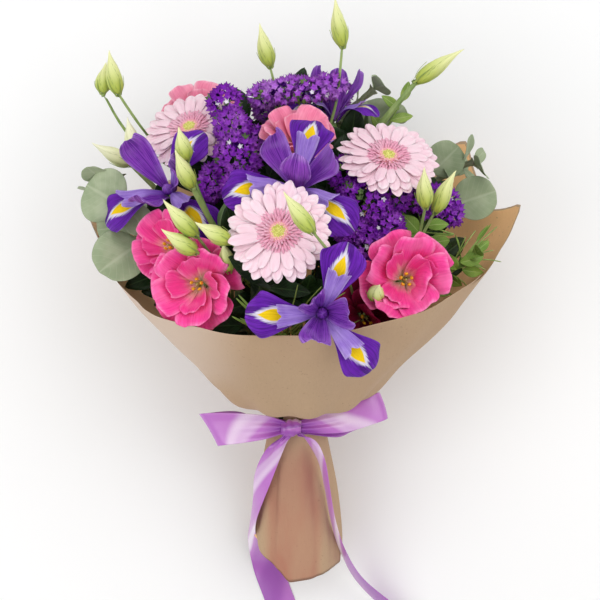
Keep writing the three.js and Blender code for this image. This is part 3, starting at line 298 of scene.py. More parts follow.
def paper_finish(name, light, dark, shade, painted_handle_colour, pale):
    """Fibrous paper with flecks, with painted shade and a painted reddish reflection of the ribbon on the
    handle, and painted light at the left of the cone.
    """
    material, tree, shader = start_finish(name, Roughness=0.82)
    place = object_place(tree)
    fibres = cloudy(tree, place, (900, 160, 160), 5, 0.7)
    patches = cloudy(tree, place, (16, 11, 13), 3)
    flecks = eased(tree, cloudy(tree, place, (420, 420, 420), 2), 0.66, 0.74)
    body = mixed(tree, fibres, dark, light)
    body = mixed(tree, eased(tree, patches, 0.35, 0.7, 0.0, 0.55), body, shade)
    body = mixed(tree, maths(tree, "MULTIPLY", flecks, 0.35), body, (0.2, 0.12, 0.06))
    split = tree.nodes.new("ShaderNodeSeparateXYZ")
    feed(tree, split.inputs[0], place)
    below_neck = eased(tree, split.outputs[1], neck.y - 0.05, neck.y - 0.006, 0.8, 0.0)
    waved = maths(tree, "MULTIPLY_ADD", cloudy(tree, place, (9, 9, 9), 2), 0.03, split.outputs[0])
    between = maths(
        tree, "MULTIPLY", eased(tree, waved, neck.x - 0.02, neck.x - 0.008),
        eased(tree, waved, neck.x + 0.03, neck.x + 0.042, 1.0, 0.0),
    )
    streaks = eased(tree, cloudy(tree, place, (34, 9, 22), 3), 0.36, 0.66, 0.98, 0.5)
    # Below the neck and between the handle's sides the paper is painted darker and reddish in streaks:
    # painted shade with a painted reddish reflection of the ribbon.
    painted_handle_mask = maths(tree, "MULTIPLY", maths(tree, "MULTIPLY", below_neck, between), streaks)
    body = mixed(tree, painted_handle_mask, body, painted_handle_colour)
    # Nearer the bow this turns deep maroon: painted shade under the bow.
    bow_shade_mask = eased(tree, split.outputs[1], neck.y - 0.1, neck.y - 0.03, 0.0, 0.5)
    body = mixed(tree, maths(tree, "MULTIPLY", painted_handle_mask, bow_shade_mask), body, (0.25, 0.07, 0.07))
    # The left of the cone above the neck is painted paler: painted light on that side.
    lit_left = maths(
        tree, "MULTIPLY", eased(tree, split.outputs[0], neck.x - 0.1, neck.x - 0.03, 0.75, 0.0),
        eased(tree, split.outputs[1], neck.y + 0.02, neck.y + 0.05),
    )
    body = mixed(tree, lit_left, body, pale)
    feed(tree, shader.inputs["Base Color"], body)
    creases = cloudy(tree, place, (34, 6, 24), 2, 0.4)
    surface = maths(tree, "MULTIPLY_ADD", creases, 5.0, maths(tree, "MULTIPLY", fibres, 0.6))
    feed(tree, shader.inputs["Normal"], relief(tree, surface, 0.4, 0.0005))
    return material


# The last two colours of each paper are the painted shade of the handle and the painted light at the left of
# the cone.
kraft_outside = paper_finish(
    "Kraft paper outside", (0.55, 0.375, 0.23), (0.44, 0.295, 0.175), (0.48, 0.315, 0.195),
    (0.42, 0.14, 0.095), (0.72, 0.58, 0.48)
)
# The inside is brighter and more orange than the outside, though it is the same paper: painted light for the
# light that reaches into and through the cone.
kraft_inside_lit = paper_finish(
    "Kraft paper inside", (0.98, 0.6, 0.29), (0.86, 0.49, 0.22), (0.9, 0.52, 0.25),
    (0.6, 0.36, 0.2), (0.8, 0.52, 0.3)
)
paper_wrap.data.materials.append(kraft_outside)
paper_wrap.data.materials.append(kraft_inside_lit)
finish_sheet(paper_wrap, paper_thickness, 1, 1)
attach(paper_wrap, "root")
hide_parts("paper_wrap")


# Binding twine. Two turns of natural twine hold the stems together under the paper. The twine
# keeps its own solid and gets a finish here.
def dye(code):
    """A colour from its six hex digits, as the shaders take it."""
    parts = [int(code[start:start + 2], 16) / 255 for start in (0, 2, 4)]
    return tuple(part / 12.92 if part <= 0.04045 else ((part + 0.055) / 1.055) ** 2.4 for part in parts)


twine_finish, tree, shader = start_finish("Twine", Roughness=0.9)
strands = cloudy(tree, object_place(tree), (500, 900, 300), 3)
feed(tree, shader.inputs["Base Color"], mixed(tree, strands, dye("8f7748"), dye("d8c596")))
feed(tree, shader.inputs["Normal"], relief(tree, strands, 0.6, 0.0006))
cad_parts["binding_twine"].data.materials[0] = twine_finish


# Satin ribbon. One length of lilac satin tied over the neck of the paper: a band round it, a small
# knot at the front, a loop to each side and two cut tails that hang down to the surface.
# Each station along a strip is its place, the way across it and its width.
ribbon_width = 26
left_loop = [
    ((-9.5, -3, 35), (0, 1, 0.1), 9), ((-26, -3, 36), (-0.1, 1, 0), 20), ((-50, -4, 32), (-0.3, 1, 0.05), 27),
    ((-69, -5, 29), (-0.5, 0.86, 0.05), 32), ((-75, -6, 22), (-0.5, 0.86, 0.05), 32),
    ((-69, -5, 15), (-0.5, 0.86, 0.05), 30), ((-48, -3, 14), (-0.25, 1, 0), 25),
    ((-30, -6, 22), (-0.1, 1, 0), 16), ((-10.5, -4, 31), (0, 1, 0.1), 7),
]
right_loop = [
    ((-0.5, -3, 35), (0, 1, 0.1), 9), ((20, -1, 35), (-0.2, 1, 0), 16), ((42, 3, 31), (-0.25, 1, -0.1), 21),
    ((67, 12, 29), (-0.3, 0.95, 0), 24), ((75, 15, 22), (-0.3, 0.95, 0), 24),
    ((68, 12, 15), (-0.3, 0.95, 0), 24), ((46, 2, 15), (-0.2, 1, 0), 20), ((32, -6, 20), (-0.1, 1, 0), 14),
    ((0.5, -4.5, 31), (0, 1, 0.1), 7),
]
left_tail = [
    ((-7, -8.5, 34), (1, 0.1, 0), 7), ((-17, -20, 34), (1, 0.35, 0), 19),
    ((-27, -42, 13), (0.86, 0.25, 0.45), 22), ((-34.5, -69, -8), (0.45, 0.05, 0.9), 22),
    ((-39.5, -90, -25), (0.25, 0, 0.97), 22),
    ((-40, -108, -50), (0.4, 0.1, 0.9), 23), ((-32, -127, -71), (0.75, 0.25, 0.55), 25),
    ((-23, -147, -79.6), (0.93, 0.36, 0.06), ribbon_width),
    ((-11, -178, -80.6), (0.95, 0.3, 0), ribbon_width),
]
right_tail = [
    ((-1, -8, 34), (0.7, -0.7, 0), 6), ((10, -14, 35), (0.6, -0.2, 0.6), 16),
    ((20, -32, 27), (0.35, 0, 0.93), 19), ((25, -56, 14), (0.22, 0.1, 0.97), 20),
    ((30, -84, 0), (0.2, 0.1, 0.97), 20),
    ((38, -112, -22), (0.22, 0.12, 0.96), 21), ((53, -142, -52), (0.26, 0.2, 0.94), 22),
    ((76, -166, -69), (0.3, 0.35, 0.88), 22), ((93, -178, -70.4), (0.3, 0.4, 0.87), 22),
]
satin_thickness = 0.4


def read_smooth(stations, share):
    """Smooth reading of evenly spaced stations, share 0 at the first and 1 at the last."""
    last = len(stations) - 1
    position = min(max(share, 0), 1) * last
    index = min(int(position), last - 1)
    t = position - index
    near = [stations[min(max(index + step, 0), last)] for step in (-1, 0, 1, 2)]
    return [
        0.5 * (2 * b + (c - a) * t + (2 * a - 5 * b + 4 * c - d) * t * t + (3 * b - a - 3 * c + d) * t**3)
        for a, b, c, d in zip(*near)
    ]


def own_map(tree):
    """The piece's own map: the whole map, the share across and the share along."""
    made = tree.nodes.new("ShaderNodeUVMap").outputs[0]
    split = tree.nodes.new("ShaderNodeSeparateXYZ")
    feed(tree, split.inputs[0], made)
    return made, split.outputs[0], split.outputs[1]


def deselect():
    bpy.ops.object.select_all(action="DESELECT")


def join_pieces(name, pieces):
    deselect()
    for piece in pieces:
        piece.select_set(True)
    bpy.context.view_layer.objects.active = pieces[0]
    if len(pieces) > 1:
        bpy.ops.object.join()
    joined = bpy.context.object
    joined.name = name
    joined.data.name = name
    return joined


def weld_ends(piece, reach):
    """Closes a grid that is bent round until its edges meet."""
    weld = piece.modifiers.new("Weld", "WELD")
    weld.merge_threshold = reach
    bpy.context.view_layer.objects.active = piece
    bpy.ops.object.modifier_apply(modifier="Weld")


def ribbon_strip(name, stations, pinch):
    """One strip of ribbon, gathered near its start over the share called pinch."""
    flat = [(*place, *Vector(way).normalized(), width) for place, way, width in stations]

    def corner(side, share):
        x, y, z, *way, width = read_smooth(flat, share)
        ahead = Vector(read_smooth(flat, share + 0.02)[:3]) - Vector(read_smooth(flat, share - 0.02)[:3])
        way = Vector(way).normalized()
        away = way.cross(ahead).normalized()
        gathered = math.exp(-((share / pinch) ** 2))
        fold = 1.6 * gathered * math.cos(7 * side) + 0.9 * side * side
        place = at(x, y, z) + (way * side * width / 2 + away * fold) * mm
        place.z = max(place.z, satin_thickness / 2 * mm)
        return place

    return bent_grid(name, 10, 56, corner)


band_radius = 27
band_half_width = 6.5


def band_corner(side, share):
    turn = 2 * math.pi * share
    pleat = 0.35 * math.sin(9 * turn + 2 * side) + 0.3 * math.cos(5 * side)
    radius = band_radius + pleat
    round_neck = Vector((math.sin(turn), 0, 0)) * radius + front * math.cos(turn) * radius
    return neck + round_neck * mm + axis * (band_half_width + band_half_width * side) * mm


def knot_corner(side, share):
    turn = 2 * math.pi * share
    tuck = 1 - 0.34 * side * side + 0.07 * math.cos(9 * side + 2 * math.sin(turn))
    lean = 0.12 * math.sin(turn)
    return at(
        -5 + 8.6 * side + 2 * lean,
        -4 + 7.4 * tuck * math.sin(turn) + 1.2 * side,
        33 + 6.6 * tuck * math.cos(turn),
    )


ribbon_parts = [
    ribbon_strip("left_loop", left_loop, 0.2),
    ribbon_strip("right_loop", right_loop, 0.2),
    ribbon_strip("left_tail", left_tail, 0.14),
    ribbon_strip("right_tail", right_tail, 0.12),
    bent_grid("band", 8, 60, band_corner),
    bent_grid("knot", 14, 28, knot_corner),
]
satin, tree, shader = start_finish(
    "Lilac satin", Roughness=0.26, Specular_IOR_Level=0.9, Anisotropic=0.6, Sheen_Weight=0.35,
    Sheen_Roughness=0.35,
)
whole, across, along = own_map(tree)
threads = cloudy(tree, whole, (3, 700, 1), 2)
# Slanting bands across the satin are painted lighter, their brightest parts near-white: painted highlights.
slanted = maths(tree, "MULTIPLY_ADD", along, 5.0, maths(tree, "MULTIPLY", across, 0.7))
painted_highlights = cloudy(tree, slanted, (1, 0.3, 0.2), 1)
body = mixed(tree, eased(tree, painted_highlights, 0.3, 0.5), dye("9c46ae"), dye("c474cd"))
body = mixed(tree, eased(tree, painted_highlights, 0.5, 0.62), body, dye("f9e9f9"))
# Near the knot the satin is painted darker: painted shade in the gathered folds.
body = mixed(tree, eased(tree, along, 0.02, 0.16, 0.75, 0.0), body, dye("8c3ea6"))
body = mixed(tree, maths(tree, "MULTIPLY", threads, 0.22), body, dye("9a45b3"))
feed(tree, shader.inputs["Base Color"], body)
feed(tree, shader.inputs["Normal"], relief(tree, threads, 0.12, 0.0002))
for part in ribbon_parts:
    part.data.materials.append(satin)
    if part.name in ("band", "knot"):
        weld_ends(part, 0.0001)
    finish_sheet(part, satin_thickness, 1)
satin_bow = join_pieces("satin_bow", ribbon_parts)
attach(satin_bow, "root")
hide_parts("satin_ribbon")


# Stems and greenery. Fresh cut stems, side stalks, calyces and leaves. Each stem keeps the rods of
# its CAD node, rounded, and each flat leaf blade there is drawn again with its own outline and veins.
def from_middle(tree, across):
    """0 on the middle line of a petal or leaf, 1 on its edges."""
    return maths(tree, "ABSOLUTE", maths(tree, "MULTIPLY_ADD", across, 2.0, -1.0))


def start_effect(name, inputs, outputs):
    tree = bpy.data.node_groups.new(name, "ShaderNodeTree")
    for label, kind, value in inputs:
        tree.interface.new_socket(label, in_out="INPUT", socket_type=kind).default_value = value
    for label, kind in outputs:
        tree.interface.new_socket(label, in_out="OUTPUT", socket_type=kind)
    given = tree.nodes.new("NodeGroupInput").outputs
    made = tree.nodes.new("NodeGroupOutput").inputs
    return tree, given, made


def place_effect(tree, effect, **values):
    made = tree.nodes.new("ShaderNodeGroup")
    made.node_tree = effect
    for socket, value in values.items():
        feed(tree, made.inputs[socket.replace("_", " ")], value)
    return made.outputs


def start_leaf_effect():
    """The veins of a leaf: a midrib, slanting side veins and a patchy blade."""
    effect, given, made = start_effect(
        "Leaf veins",
        [
            ("Blade", "NodeSocketColor", (0.1, 0.2, 0.05, 1)),
            ("Vein", "NodeSocketColor", (0.3, 0.4, 0.2, 1)),
            ("Shade", "NodeSocketColor", (0.05, 0.1, 0.03, 1)),
            ("Vein Strength", "NodeSocketFloat", 0.6),
        ],
        [("Colour", "NodeSocketColor"), ("Height", "NodeSocketFloat")],
    )
    _, across, along = own_map(effect)
    middle = from_middle(effect, across)
    rib = eased(effect, middle, 0.02, 0.1, 1.0, 0.0)
    rising = maths(effect, "MULTIPLY", along, 9.0)
    slanted = maths(effect, "SUBTRACT", rising, maths(effect, "MULTIPLY", middle, 2.6))
    side_veins = eased(effect, maths(effect, "PINGPONG", slanted, 0.5), 0.0, 0.09, 1.0, 0.0)
    veins = maths(effect, "MAXIMUM", rib, maths(effect, "MULTIPLY", side_veins, 0.5))
    place = object_place(effect)
    patches = cloudy(effect, place, (70, 70, 70), 3)
    fine = cloudy(effect, place, (700, 700, 700), 2)
    colour = mixed(effect, eased(effect, patches, 0.35, 0.7), given["Shade"], given["Blade"])
    colour = mixed(effect, maths(effect, "MULTIPLY", veins, given["Vein Strength"]), colour, given["Vein"])
    feed(effect, made["Colour"], colour)
    feed(effect, made["Height"], maths(effect, "SUBTRACT", maths(effect, "MULTIPLY", fine, 0.3), veins))
    return effect


leaf_veins = start_leaf_effect()


def leaf_finish(name, blade, vein, shade, strength, roughness):
    material, tree, shader = start_finish(name, Roughness=roughness, Specular_IOR_Level=0.25)
    effect = place_effect(
        tree, leaf_veins, Blade=dye(blade), Vein=dye(vein), Shade=dye(shade), Vein_Strength=strength
    )
    feed(tree, shader.inputs["Base Color"], effect["Colour"])
    feed(tree, shader.inputs["Normal"], relief(tree, effect["Height"], 0.35, 0.0004))
    return material


def stem_finish(name, light, dark):
    material, tree, shader = start_finish(name, Roughness=0.5)
    place = object_place(tree)
    streaks = cloudy(tree, place, (260, 40, 90), 4)
    patches = cloudy(tree, place, (30, 30, 30), 2)
    tone = maths(tree, "MULTIPLY_ADD", streaks, 0.5, maths(tree, "MULTIPLY", patches, 0.5))
    feed(tree, shader.inputs["Base Color"], mixed(tree, eased(tree, tone, 0.3, 0.7), dye(dark), dye(light)))
    feed(tree, shader.inputs["Normal"], relief(tree, streaks, 0.2, 0.0004))
    return material


fresh_stem = stem_finish("Fresh stem", "86a257", "5b7a3a")
spray_stem = stem_finish("Lisianthus stem", "9db26b", "6f8a48")
pale_stem = stem_finish("Pale lisianthus stem", "b3bf82", "8c9c58")
sage_stem = stem_finish("Eucalyptus twig", "9aa288", "7a7a60")
# Filler stems are very dark: partly their own colour, partly painted shade between the blooms.
woody_stem = stem_finish("Filler stem", "3c4a2a", "20301c")
sprig_stem = stem_finish("Sprig stem", "93b055", "6c8a3c")
spray_leaf = leaf_finish("Lisianthus leaf", "7f9566", "a7b88c", "5e7a4c", 0.45, 0.55)
sage_leaf = leaf_finish("Eucalyptus leaf", "a9b494", "c6cdb0", "94a381", 0.35, 0.6)
# Filler leaves are very dark green: partly their own colour, partly painted shade for the gaps between the
# blooms.
dark_leaf = leaf_finish("Filler leaf", "27401f", "4d6a3c", "14260f", 0.5, 0.4)
sprig_leaf = leaf_finish("Sprig leaf", "86a848", "b9cf80", "688a34", 0.5, 0.5)


def merged_copy(node):
    """A CAD node's shape with its loose triangles joined."""
    made = bmesh.new()
    made.from_mesh(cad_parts[node].data)
    bmesh.ops.remove_doubles(made, verts=made.verts, dist=0.00001)
    made.normal_update()
    for part in (made.verts, made.faces):
        part.index_update()
        part.ensure_lookup_table()
    return made


blade_thickness = (0.5 * mm, 1.1 * mm)
smallest_blade = 18 * mm * mm


def blade_sides(made):
    """The flat sides of the leaf blades: connected faces with another side just behind them."""
    tree = BVHTree.FromBMesh(made)
    thin = {}
    for face in made.faces:
        start = face.calc_center_median() - face.normal * 0.02 * mm
        hit, normal, _, depth = tree.ray_cast(start, -face.normal, blade_thickness[1])
        if hit is not None and depth > blade_thickness[0] and normal.dot(face.normal) < -0.8:
            thin[face.index] = face
    sides = []
    while thin:
        index = min(thin)
        side = [thin.pop(index)]
        for face in side:
            for edge in face.edges:
                for other in edge.link_faces:
                    if other.index in thin and other.normal.dot(face.normal) > 0.75:
                        side.append(thin.pop(other.index))
        area = sum(face.calc_area() for face in side)
        if area < smallest_blade:
            continue
        centre = sum((face.calc_center_median() * face.calc_area() for face in side), Vector()) / area
        normal = sum((face.normal * face.calc_area() for face in side), Vector()).normalized()
        sides.append((side, centre, normal))
    return sides


def take_leaves(made):
    """Takes the leaf blades out of a merged copy and says where each was."""
    sides = blade_sides(made)
    leaves = []
    gone = set()
    used = set()
    for first, (side, centre, normal) in enumerate(sides):
        if first in used:
            continue
        for second in range(first + 1, len(sides)):
            other, other_centre, other_normal = sides[second]
            if second in used or normal.dot(other_normal) > -0.8 or (centre - other_centre).length > 4 * mm:
                continue
            used.update((first, second))
            top, flat = (side, normal) if normal.dot(axis + front) > 0 else (other, other_normal)
            corners = {corner for face in side + other for corner in face.verts}
            rooted = [
                corner.co.copy()
                for corner in corners
                if any(not corners.issuperset(face.verts) for face in corner.link_faces)
            ]
            if not rooted:
                break
            root = sum(rooted, Vector()) / len(rooted)
            outline = sorted({c for face in top for c in face.verts}, key=lambda c: -(c.co - root).length)
            tip = (outline[0].co + outline[1].co) / 2
            way = (tip - root).normalized()
            over = way.cross(flat).normalized()
            up = over.cross(way)
            half_width = max(abs((corner.co - root).dot(over)) for corner in outline)
            heights = [(corner.co - root).dot(up) for corner in outline[2:]]
            sag = sum(heights) / len(heights) if heights else 0
            leaves.append((root, tip, over, up, half_width, sag))
            gone.update(face for face in made.faces if corners.issuperset(face.verts))
            break
    bmesh.ops.delete(made, geom=sorted(gone, key=lambda face: face.index), context="FACES")
    bmesh.ops.delete(made, geom=[corner for corner in made.verts if not corner.link_faces], context="VERTS")
    bmesh.ops.holes_fill(made, edges=[edge for edge in made.edges if edge.is_boundary], sides=0)
    return leaves


def outline_width(kind, share):
    if kind == "round":
        return 0.1 if share < 0.1 else max(0.12, math.sqrt(max(1 - ((share - 0.57) / 0.45) ** 2, 0)))
    fullness = {"oval": 0.75, "lance": 0.95}[kind]
    return max(0.07, math.sin(math.pi * share**0.85) ** fullness)


def leaf_corner(leaf, kind, wave):
    root, tip, over, up, half_width, sag = leaf
    reach = tip - root
    stalk = reach.normalized() * 1.6 * mm

    def corner(side, share):
        along = share * (1 - 0.05 * side * side * share**3)
        width = half_width * outline_width(kind, along)
        fold = 0.16 * abs(side) * width
        ripple = 0.07 * half_width * abs(side) ** 1.5 * math.sin(8 * share + 3 * side + wave)
        height = 4 * sag * along * (1 - along) + fold + ripple
        return root - stalk + (reach + stalk) * along + over * side * width + up * height

    return corner


leaf_thickness = 0.45


def leaf_blade(name, corner, finish, across=8, along=10, levels=1):
    blade = bent_grid(name, across, along, corner)
    blade.data.materials.append(finish)
    return finish_sheet(blade, leaf_thickness, levels)


stem_swell = 0.35


def new_piece(name, mesh):
    piece = bpy.data.objects.new(name, mesh)
    scene.collection.objects.link(piece)
    return piece


def rounded_stems(name, made, finish, levels):
    mesh = bpy.data.meshes.new(name)
    for part in (made.verts, made.faces):
        part.index_update()
    mesh.from_pydata([c.co for c in made.verts], [], [[c.index for c in face.verts] for face in made.faces])
    mesh.materials.append(finish)
    piece = new_piece(name, mesh)
    out = piece.modifiers.new("Swell", "DISPLACE")
    out.strength = stem_swell * mm
    out.mid_level = 0
    smoothing = piece.modifiers.new("Rounding", "SUBSURF")
    smoothing.levels = levels
    smoothing.render_levels = levels
    deselect()
    piece.select_set(True)
    bpy.context.view_layer.objects.active = piece
    bpy.ops.object.modifier_apply(modifier="Swell")
    bpy.ops.object.modifier_apply(modifier="Rounding")
    piece.data.shade_smooth()
    return piece


bud_reach = 9


def take_bud(made, base, tip):
    """Takes a plain closed bud off the end of its stalk."""
    start = at(*base)
    way = at(*tip) - start
    gone = []
    for corner in made.verts:
        share = (corner.co - start).dot(way) / way.length_squared
        if 0.06 < share < 1.05 and (corner.co - start - way * share).length < bud_reach * mm:
            gone.append(corner)
    bmesh.ops.delete(made, geom=gone, context="VERTS")
    bmesh.ops.holes_fill(made, edges=[edge for edge in made.edges if edge.is_boundary], sides=0)
    bmesh.ops.collapse(made, edges=[edge for edge in made.edges if edge.is_boundary])


def dressed_stem(node, stem, leaf=None, kind="lance", levels=1, closed_buds=()):
    """The parts that stand for a green CAD node: its rounded stems and its leaves."""
    made = merged_copy(node)
    leaves = take_leaves(made) if leaf else []
    for base, tip in closed_buds:
        take_bud(made, base, tip)
    parts = [rounded_stems(f"{node}_stems", made, stem, levels)]
    made.free()
    for index, found in enumerate(leaves):
        parts.append(leaf_blade(f"{node}_leaf_{index}", leaf_corner(found, kind, 1.7 * index), leaf))
    return parts


def rod(name, route, radius, finish, sides=6, rows=14):
    """A round stalk along a route, its ends closed to a point."""
    flat = [tuple(place) for place in route]

    def corner(side, share):
        turn = math.pi * side
        ahead = Vector(read_smooth(flat, share + 0.02)) - Vector(read_smooth(flat, share - 0.02))
        over = ahead.cross(Vector((0.2, 0.1, 1))).normalized()
        up = over.cross(ahead).normalized()
        thick = radius * (0 if share < 0.001 or share > 0.999 else 1 - 0.4 * share)
        return at(*read_smooth(flat, share)) + (over * math.cos(turn) - up * math.sin(turn)) * thick * mm

    piece = bent_grid(name, sides, rows, corner)
    weld_ends(piece, 0.00001)
    piece.data.materials.append(finish)
    piece.data.shade_smooth()
    return piece


def hand_over(name, parts, slot, *nodes):
    """Joins the parts into one piece that takes the place of its CAD nodes."""
    piece = join_pieces(name, parts)
    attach(piece, "root")
    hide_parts(*nodes)
    return piece


plain_stems = [
    "gerbera_centre", "gerbera_right", "gerbera_left", "iris_low", "iris_centre", "iris_left", "iris_top",
    "statice_top", "statice_left", "statice_right", "statice_low",
]
for plant in plain_stems:
    parts = dressed_stem(f"{plant}_stem", fresh_stem)
    hand_over(f"{plant}_stalk", parts, "stem_green", f"{plant}_stem")


# Lisianthus sprays. Branching stems with paired leaves that carry the blooms and the closed buds,
# whose pale green petals are wound round each other to a point above five narrow sepals.
bud_radius = 6.8
bud_outline = [(0.3,), (0.82,), (1,), (0.98,), (0.8,), (0.5,), (0.22,), (0.06,)]
buds = {
    "lisianthus_left": [
        ((-78, 155, 176), (-106, 182, 190)), ((-51, 150, 189), (-80, 164, 199)),
        ((-78, 142, 174), (-107, 159, 186)), ((-53, 127, 166), (-59, 150, 176)),
    ],
    "lisianthus_right": [
        ((103, 178, 144), (99, 210, 162)), ((111, 175, 130), (125, 209, 150)),
        ((61, 106, 168), (64, 117, 182)),
    ],
    "lisianthus_top_left": [((-163, 278, 58), (-161, 304, 64)), ((-149, 276, 66), (-158, 312, 78))],
    "lisianthus_top": [((-22, 299, 66), (-33, 334, 80)), ((38, 313, 88), (29, 352, 104))],
    "lisianthus_low": [((13, 156, 222), (-12, 186, 238))],
    "lisianthus_buds_right": [((98, 285, 78), (136, 313, 96))],
    "lisianthus_buds_left": [((-83, 194, 146), (-98, 223, 166)), ((-88, 217, 132), (-96, 243, 146))],
    "lisianthus_buds_pale": [((-139, 219, 50), (-173, 235, 62)), ((-135, 225, 48), (-144, 258, 60))],
}


def bud_finish(name, base, tip, seam):
    material, tree, shader = start_finish(name, Roughness=0.45)
    _, wound, share = own_map(tree)
    seams = eased(tree, from_middle(tree, wound), 0.62, 1.0)
    ribs = cloudy(tree, tree.nodes.new("ShaderNodeUVMap").outputs[0], (18, 2, 1), 2)
    colour = mixed(tree, eased(tree, share, 0.15, 0.95), dye(base), dye(tip))
    colour = mixed(tree, maths(tree, "MULTIPLY", seams, 0.65), colour, dye(seam))
    colour = mixed(tree, maths(tree, "MULTIPLY", eased(tree, ribs, 0.5, 0.8), 0.35), colour, dye(seam))
    feed(tree, shader.inputs["Base Color"], colour)
    feed(tree, shader.inputs["Normal"], relief(tree, ribs, 0.2, 0.0004))
    return material


green_bud = bud_finish("Green bud", "b6c552", "f1f1b4", "7f9640")
cream_bud = bud_finish("Cream bud", "e0e2a6", "f7f6d6", "b7bd80")
sepal_finish = leaf_finish("Sepal", "a9ba62", "c3d085", "8ba24e", 0.4, 0.5)


def head_frame(place, facing):
    """A head's own frame: its Z is the way it faces, and its X stays to the right."""
    up = Vector(facing).normalized()
    right = (Vector((1, 0, 0)) - up * up.x).normalized()
    made = Matrix((right, up.cross(right), up)).transposed().to_4x4()
    made.translation = at(*place)
    return made


def add_bud(name, base, tip, finish):
    """A closed bud, its petals wound round each other, in a calyx of five sepals."""
    length = (Vector(tip) - Vector(base)).length
    head = head_frame(base, Vector(tip) - Vector(base))
    bpy.ops.mesh.primitive_uv_sphere_add(segments=30, ring_count=16, radius=1)
    bud = bpy.context.object
    bud.name = name
    map_values = []
    for corner in bud.data.vertices:
        share = math.acos(min(max(-corner.co.z, -1), 1)) / math.pi
        turn = math.atan2(corner.co.y, corner.co.x)
        wound = (5 * turn / (2 * math.pi) + 1.3 * share + 0.01) % 1
        radius = bud_radius * read_smooth(bud_outline, share)[0] * (1.04 - 0.15 * wound)
        lean = 0.05 * length * share * share
        place = Vector((radius * math.cos(turn) + lean, radius * math.sin(turn), share * length))
        corner.co = head @ (place * mm)
        map_values.append((wound, share))
    layer = bud.data.uv_layers.active.data
    for loop in bud.data.loops:
        layer[loop.index].uv = map_values[loop.vertex_index]
    bud.data.materials.append(finish)
    bud.data.shade_smooth()
    parts = [bud]
    for index in range(5):
        turn = Matrix.Rotation(math.radians(72 * index + 20), 4, "Z")

        def corner(side, share):
            height = share * (0.42 + 0.1 * (index % 2)) * length - 1.2
            swelling = read_smooth(bud_outline, max(height, 0) / length)[0]
            out = bud_radius * swelling * 1.05 + 0.25 + 0.7 * share**4
            width = 0.95 * max(1 - share, 0.06) ** 0.8
            return head @ turn @ (Vector((out - 0.12 * width * side * side, side * width, height)) * mm)

        sepal = bent_grid(f"{name}_sepal_{index}", 2, 7, corner)
        sepal.data.materials.append(sepal_finish)
        parts.append(finish_sheet(sepal, 0.4, 1))
    return parts


def tree_of(solid):
    places = [corner.co for corner in solid.data.vertices]
    return BVHTree.FromPolygons(places, [face.vertices for face in solid.data.polygons])


for plant, places in buds.items():
    pale = plant.endswith("pale")
    stem = pale_stem if pale else spray_stem
    parts = dressed_stem(f"{plant}_spray", stem, spray_leaf, "lance", 2, places)
    stalks = tree_of(parts[0])
    for index, (base, tip) in enumerate(places):
        foot = (stalks.find_nearest(at(*base))[0] - neck) / mm
        into = Vector(base) + (Vector(tip) - Vector(base)) * 0.06
        back = (Vector(base) - foot).normalized() * 2 if (Vector(base) - foot).length > 0.5 else Vector()
        route = [foot - back, (foot + Vector(base)) / 2, into]
        parts.append(rod(f"{plant}_foot_{index}", route, 2.0, stem, 8, 6))
        parts += add_bud(f"{plant}_bud_{index}", base, tip, cream_bud if pale else green_bud)
    hand_over(f"{plant}_branch", parts, "spray_cream" if pale else "spray_green", f"{plant}_spray")


# Petals. Each bloom's petals are bent sheets set round its head. A petal leans a little further
# where that keeps it clear of the stems, buds and blooms that are already there.
# Each try is a lean in degrees and a share of the petal's length.
petal_leans = [
    (0, 1), (6, 1), (-6, 1), (12, 1), (-12, 1), (20, 1), (0, 0.86), (-20, 0.9), (30, 0.95), (42, 0.9),
]
in_the_way = {}


for node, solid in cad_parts.items():
    if "bloom" in node or node.endswith(("petals", "heart", "florets", "twine", "paper_wrap")):
        continue
    in_the_way[node] = [tree_of(solid)]
in_the_way["wrap"] = [tree_of(paper_wrap)]


def leaning(head, shape, angle, lean, reach):
    """Turns a petal's own shape (out, over, up) to its angle on the head, pitched about its root."""
    root_out, _, root_up = shape(0, 0)
    lean = math.radians(lean)
    turned = head @ Matrix.Rotation(math.radians(angle), 4, "Z")

    def place(side, share):
        out, over, up = shape(side, share)
        out = (out - root_out) * reach
        up = (up - root_up) * reach
        leaned_out = root_out + out * math.cos(lean) - up * math.sin(lean)
        leaned_up = root_up + out * math.sin(lean) + up * math.cos(lean)
        return turned @ (Vector((leaned_out, over, leaned_up)) * mm)

    return place


def outline_tree(place, across=4, along=7):
    corners = [place(2 * i / across - 1, j / along) for j in range(along + 1) for i in range(across + 1)]
    wide = across + 1
    faces = [
        (j * wide + i, j * wide + i + 1, (j + 1) * wide + i + 1, (j + 1) * wide + i)
        for j in range(along)
        for i in range(across)
    ]
    return BVHTree.FromPolygons(corners, faces)


def touches(outline, own):
    return sum(
        len(outline.overlap(tree))
        for other, trees in in_the_way.items()
        if other not in own
        for tree in trees
    )


def clearest(places, own):
    """The first place that touches nothing, or else the one that touches least."""
    best = None
    for place in places:
        outline = outline_tree(place)
        touched = touches(outline, own)
        if best is None or touched < best[0]:
            best = (touched, place, outline)
        if touched == 0:
            break
    return best


def add_petal(bloom, own, head, shape, angle, detail, finish, thickness):
    places = (leaning(head, shape, angle, lean, reach) for lean, reach in petal_leans)
    _, place, outline = clearest(places, own | {bloom})
    in_the_way.setdefault(bloom, []).append(outline)
    petal = bent_grid(f"{bloom}_petal", *detail, place)
    petal.data.materials.append(finish)
    return finish_sheet(petal, thickness, 1)


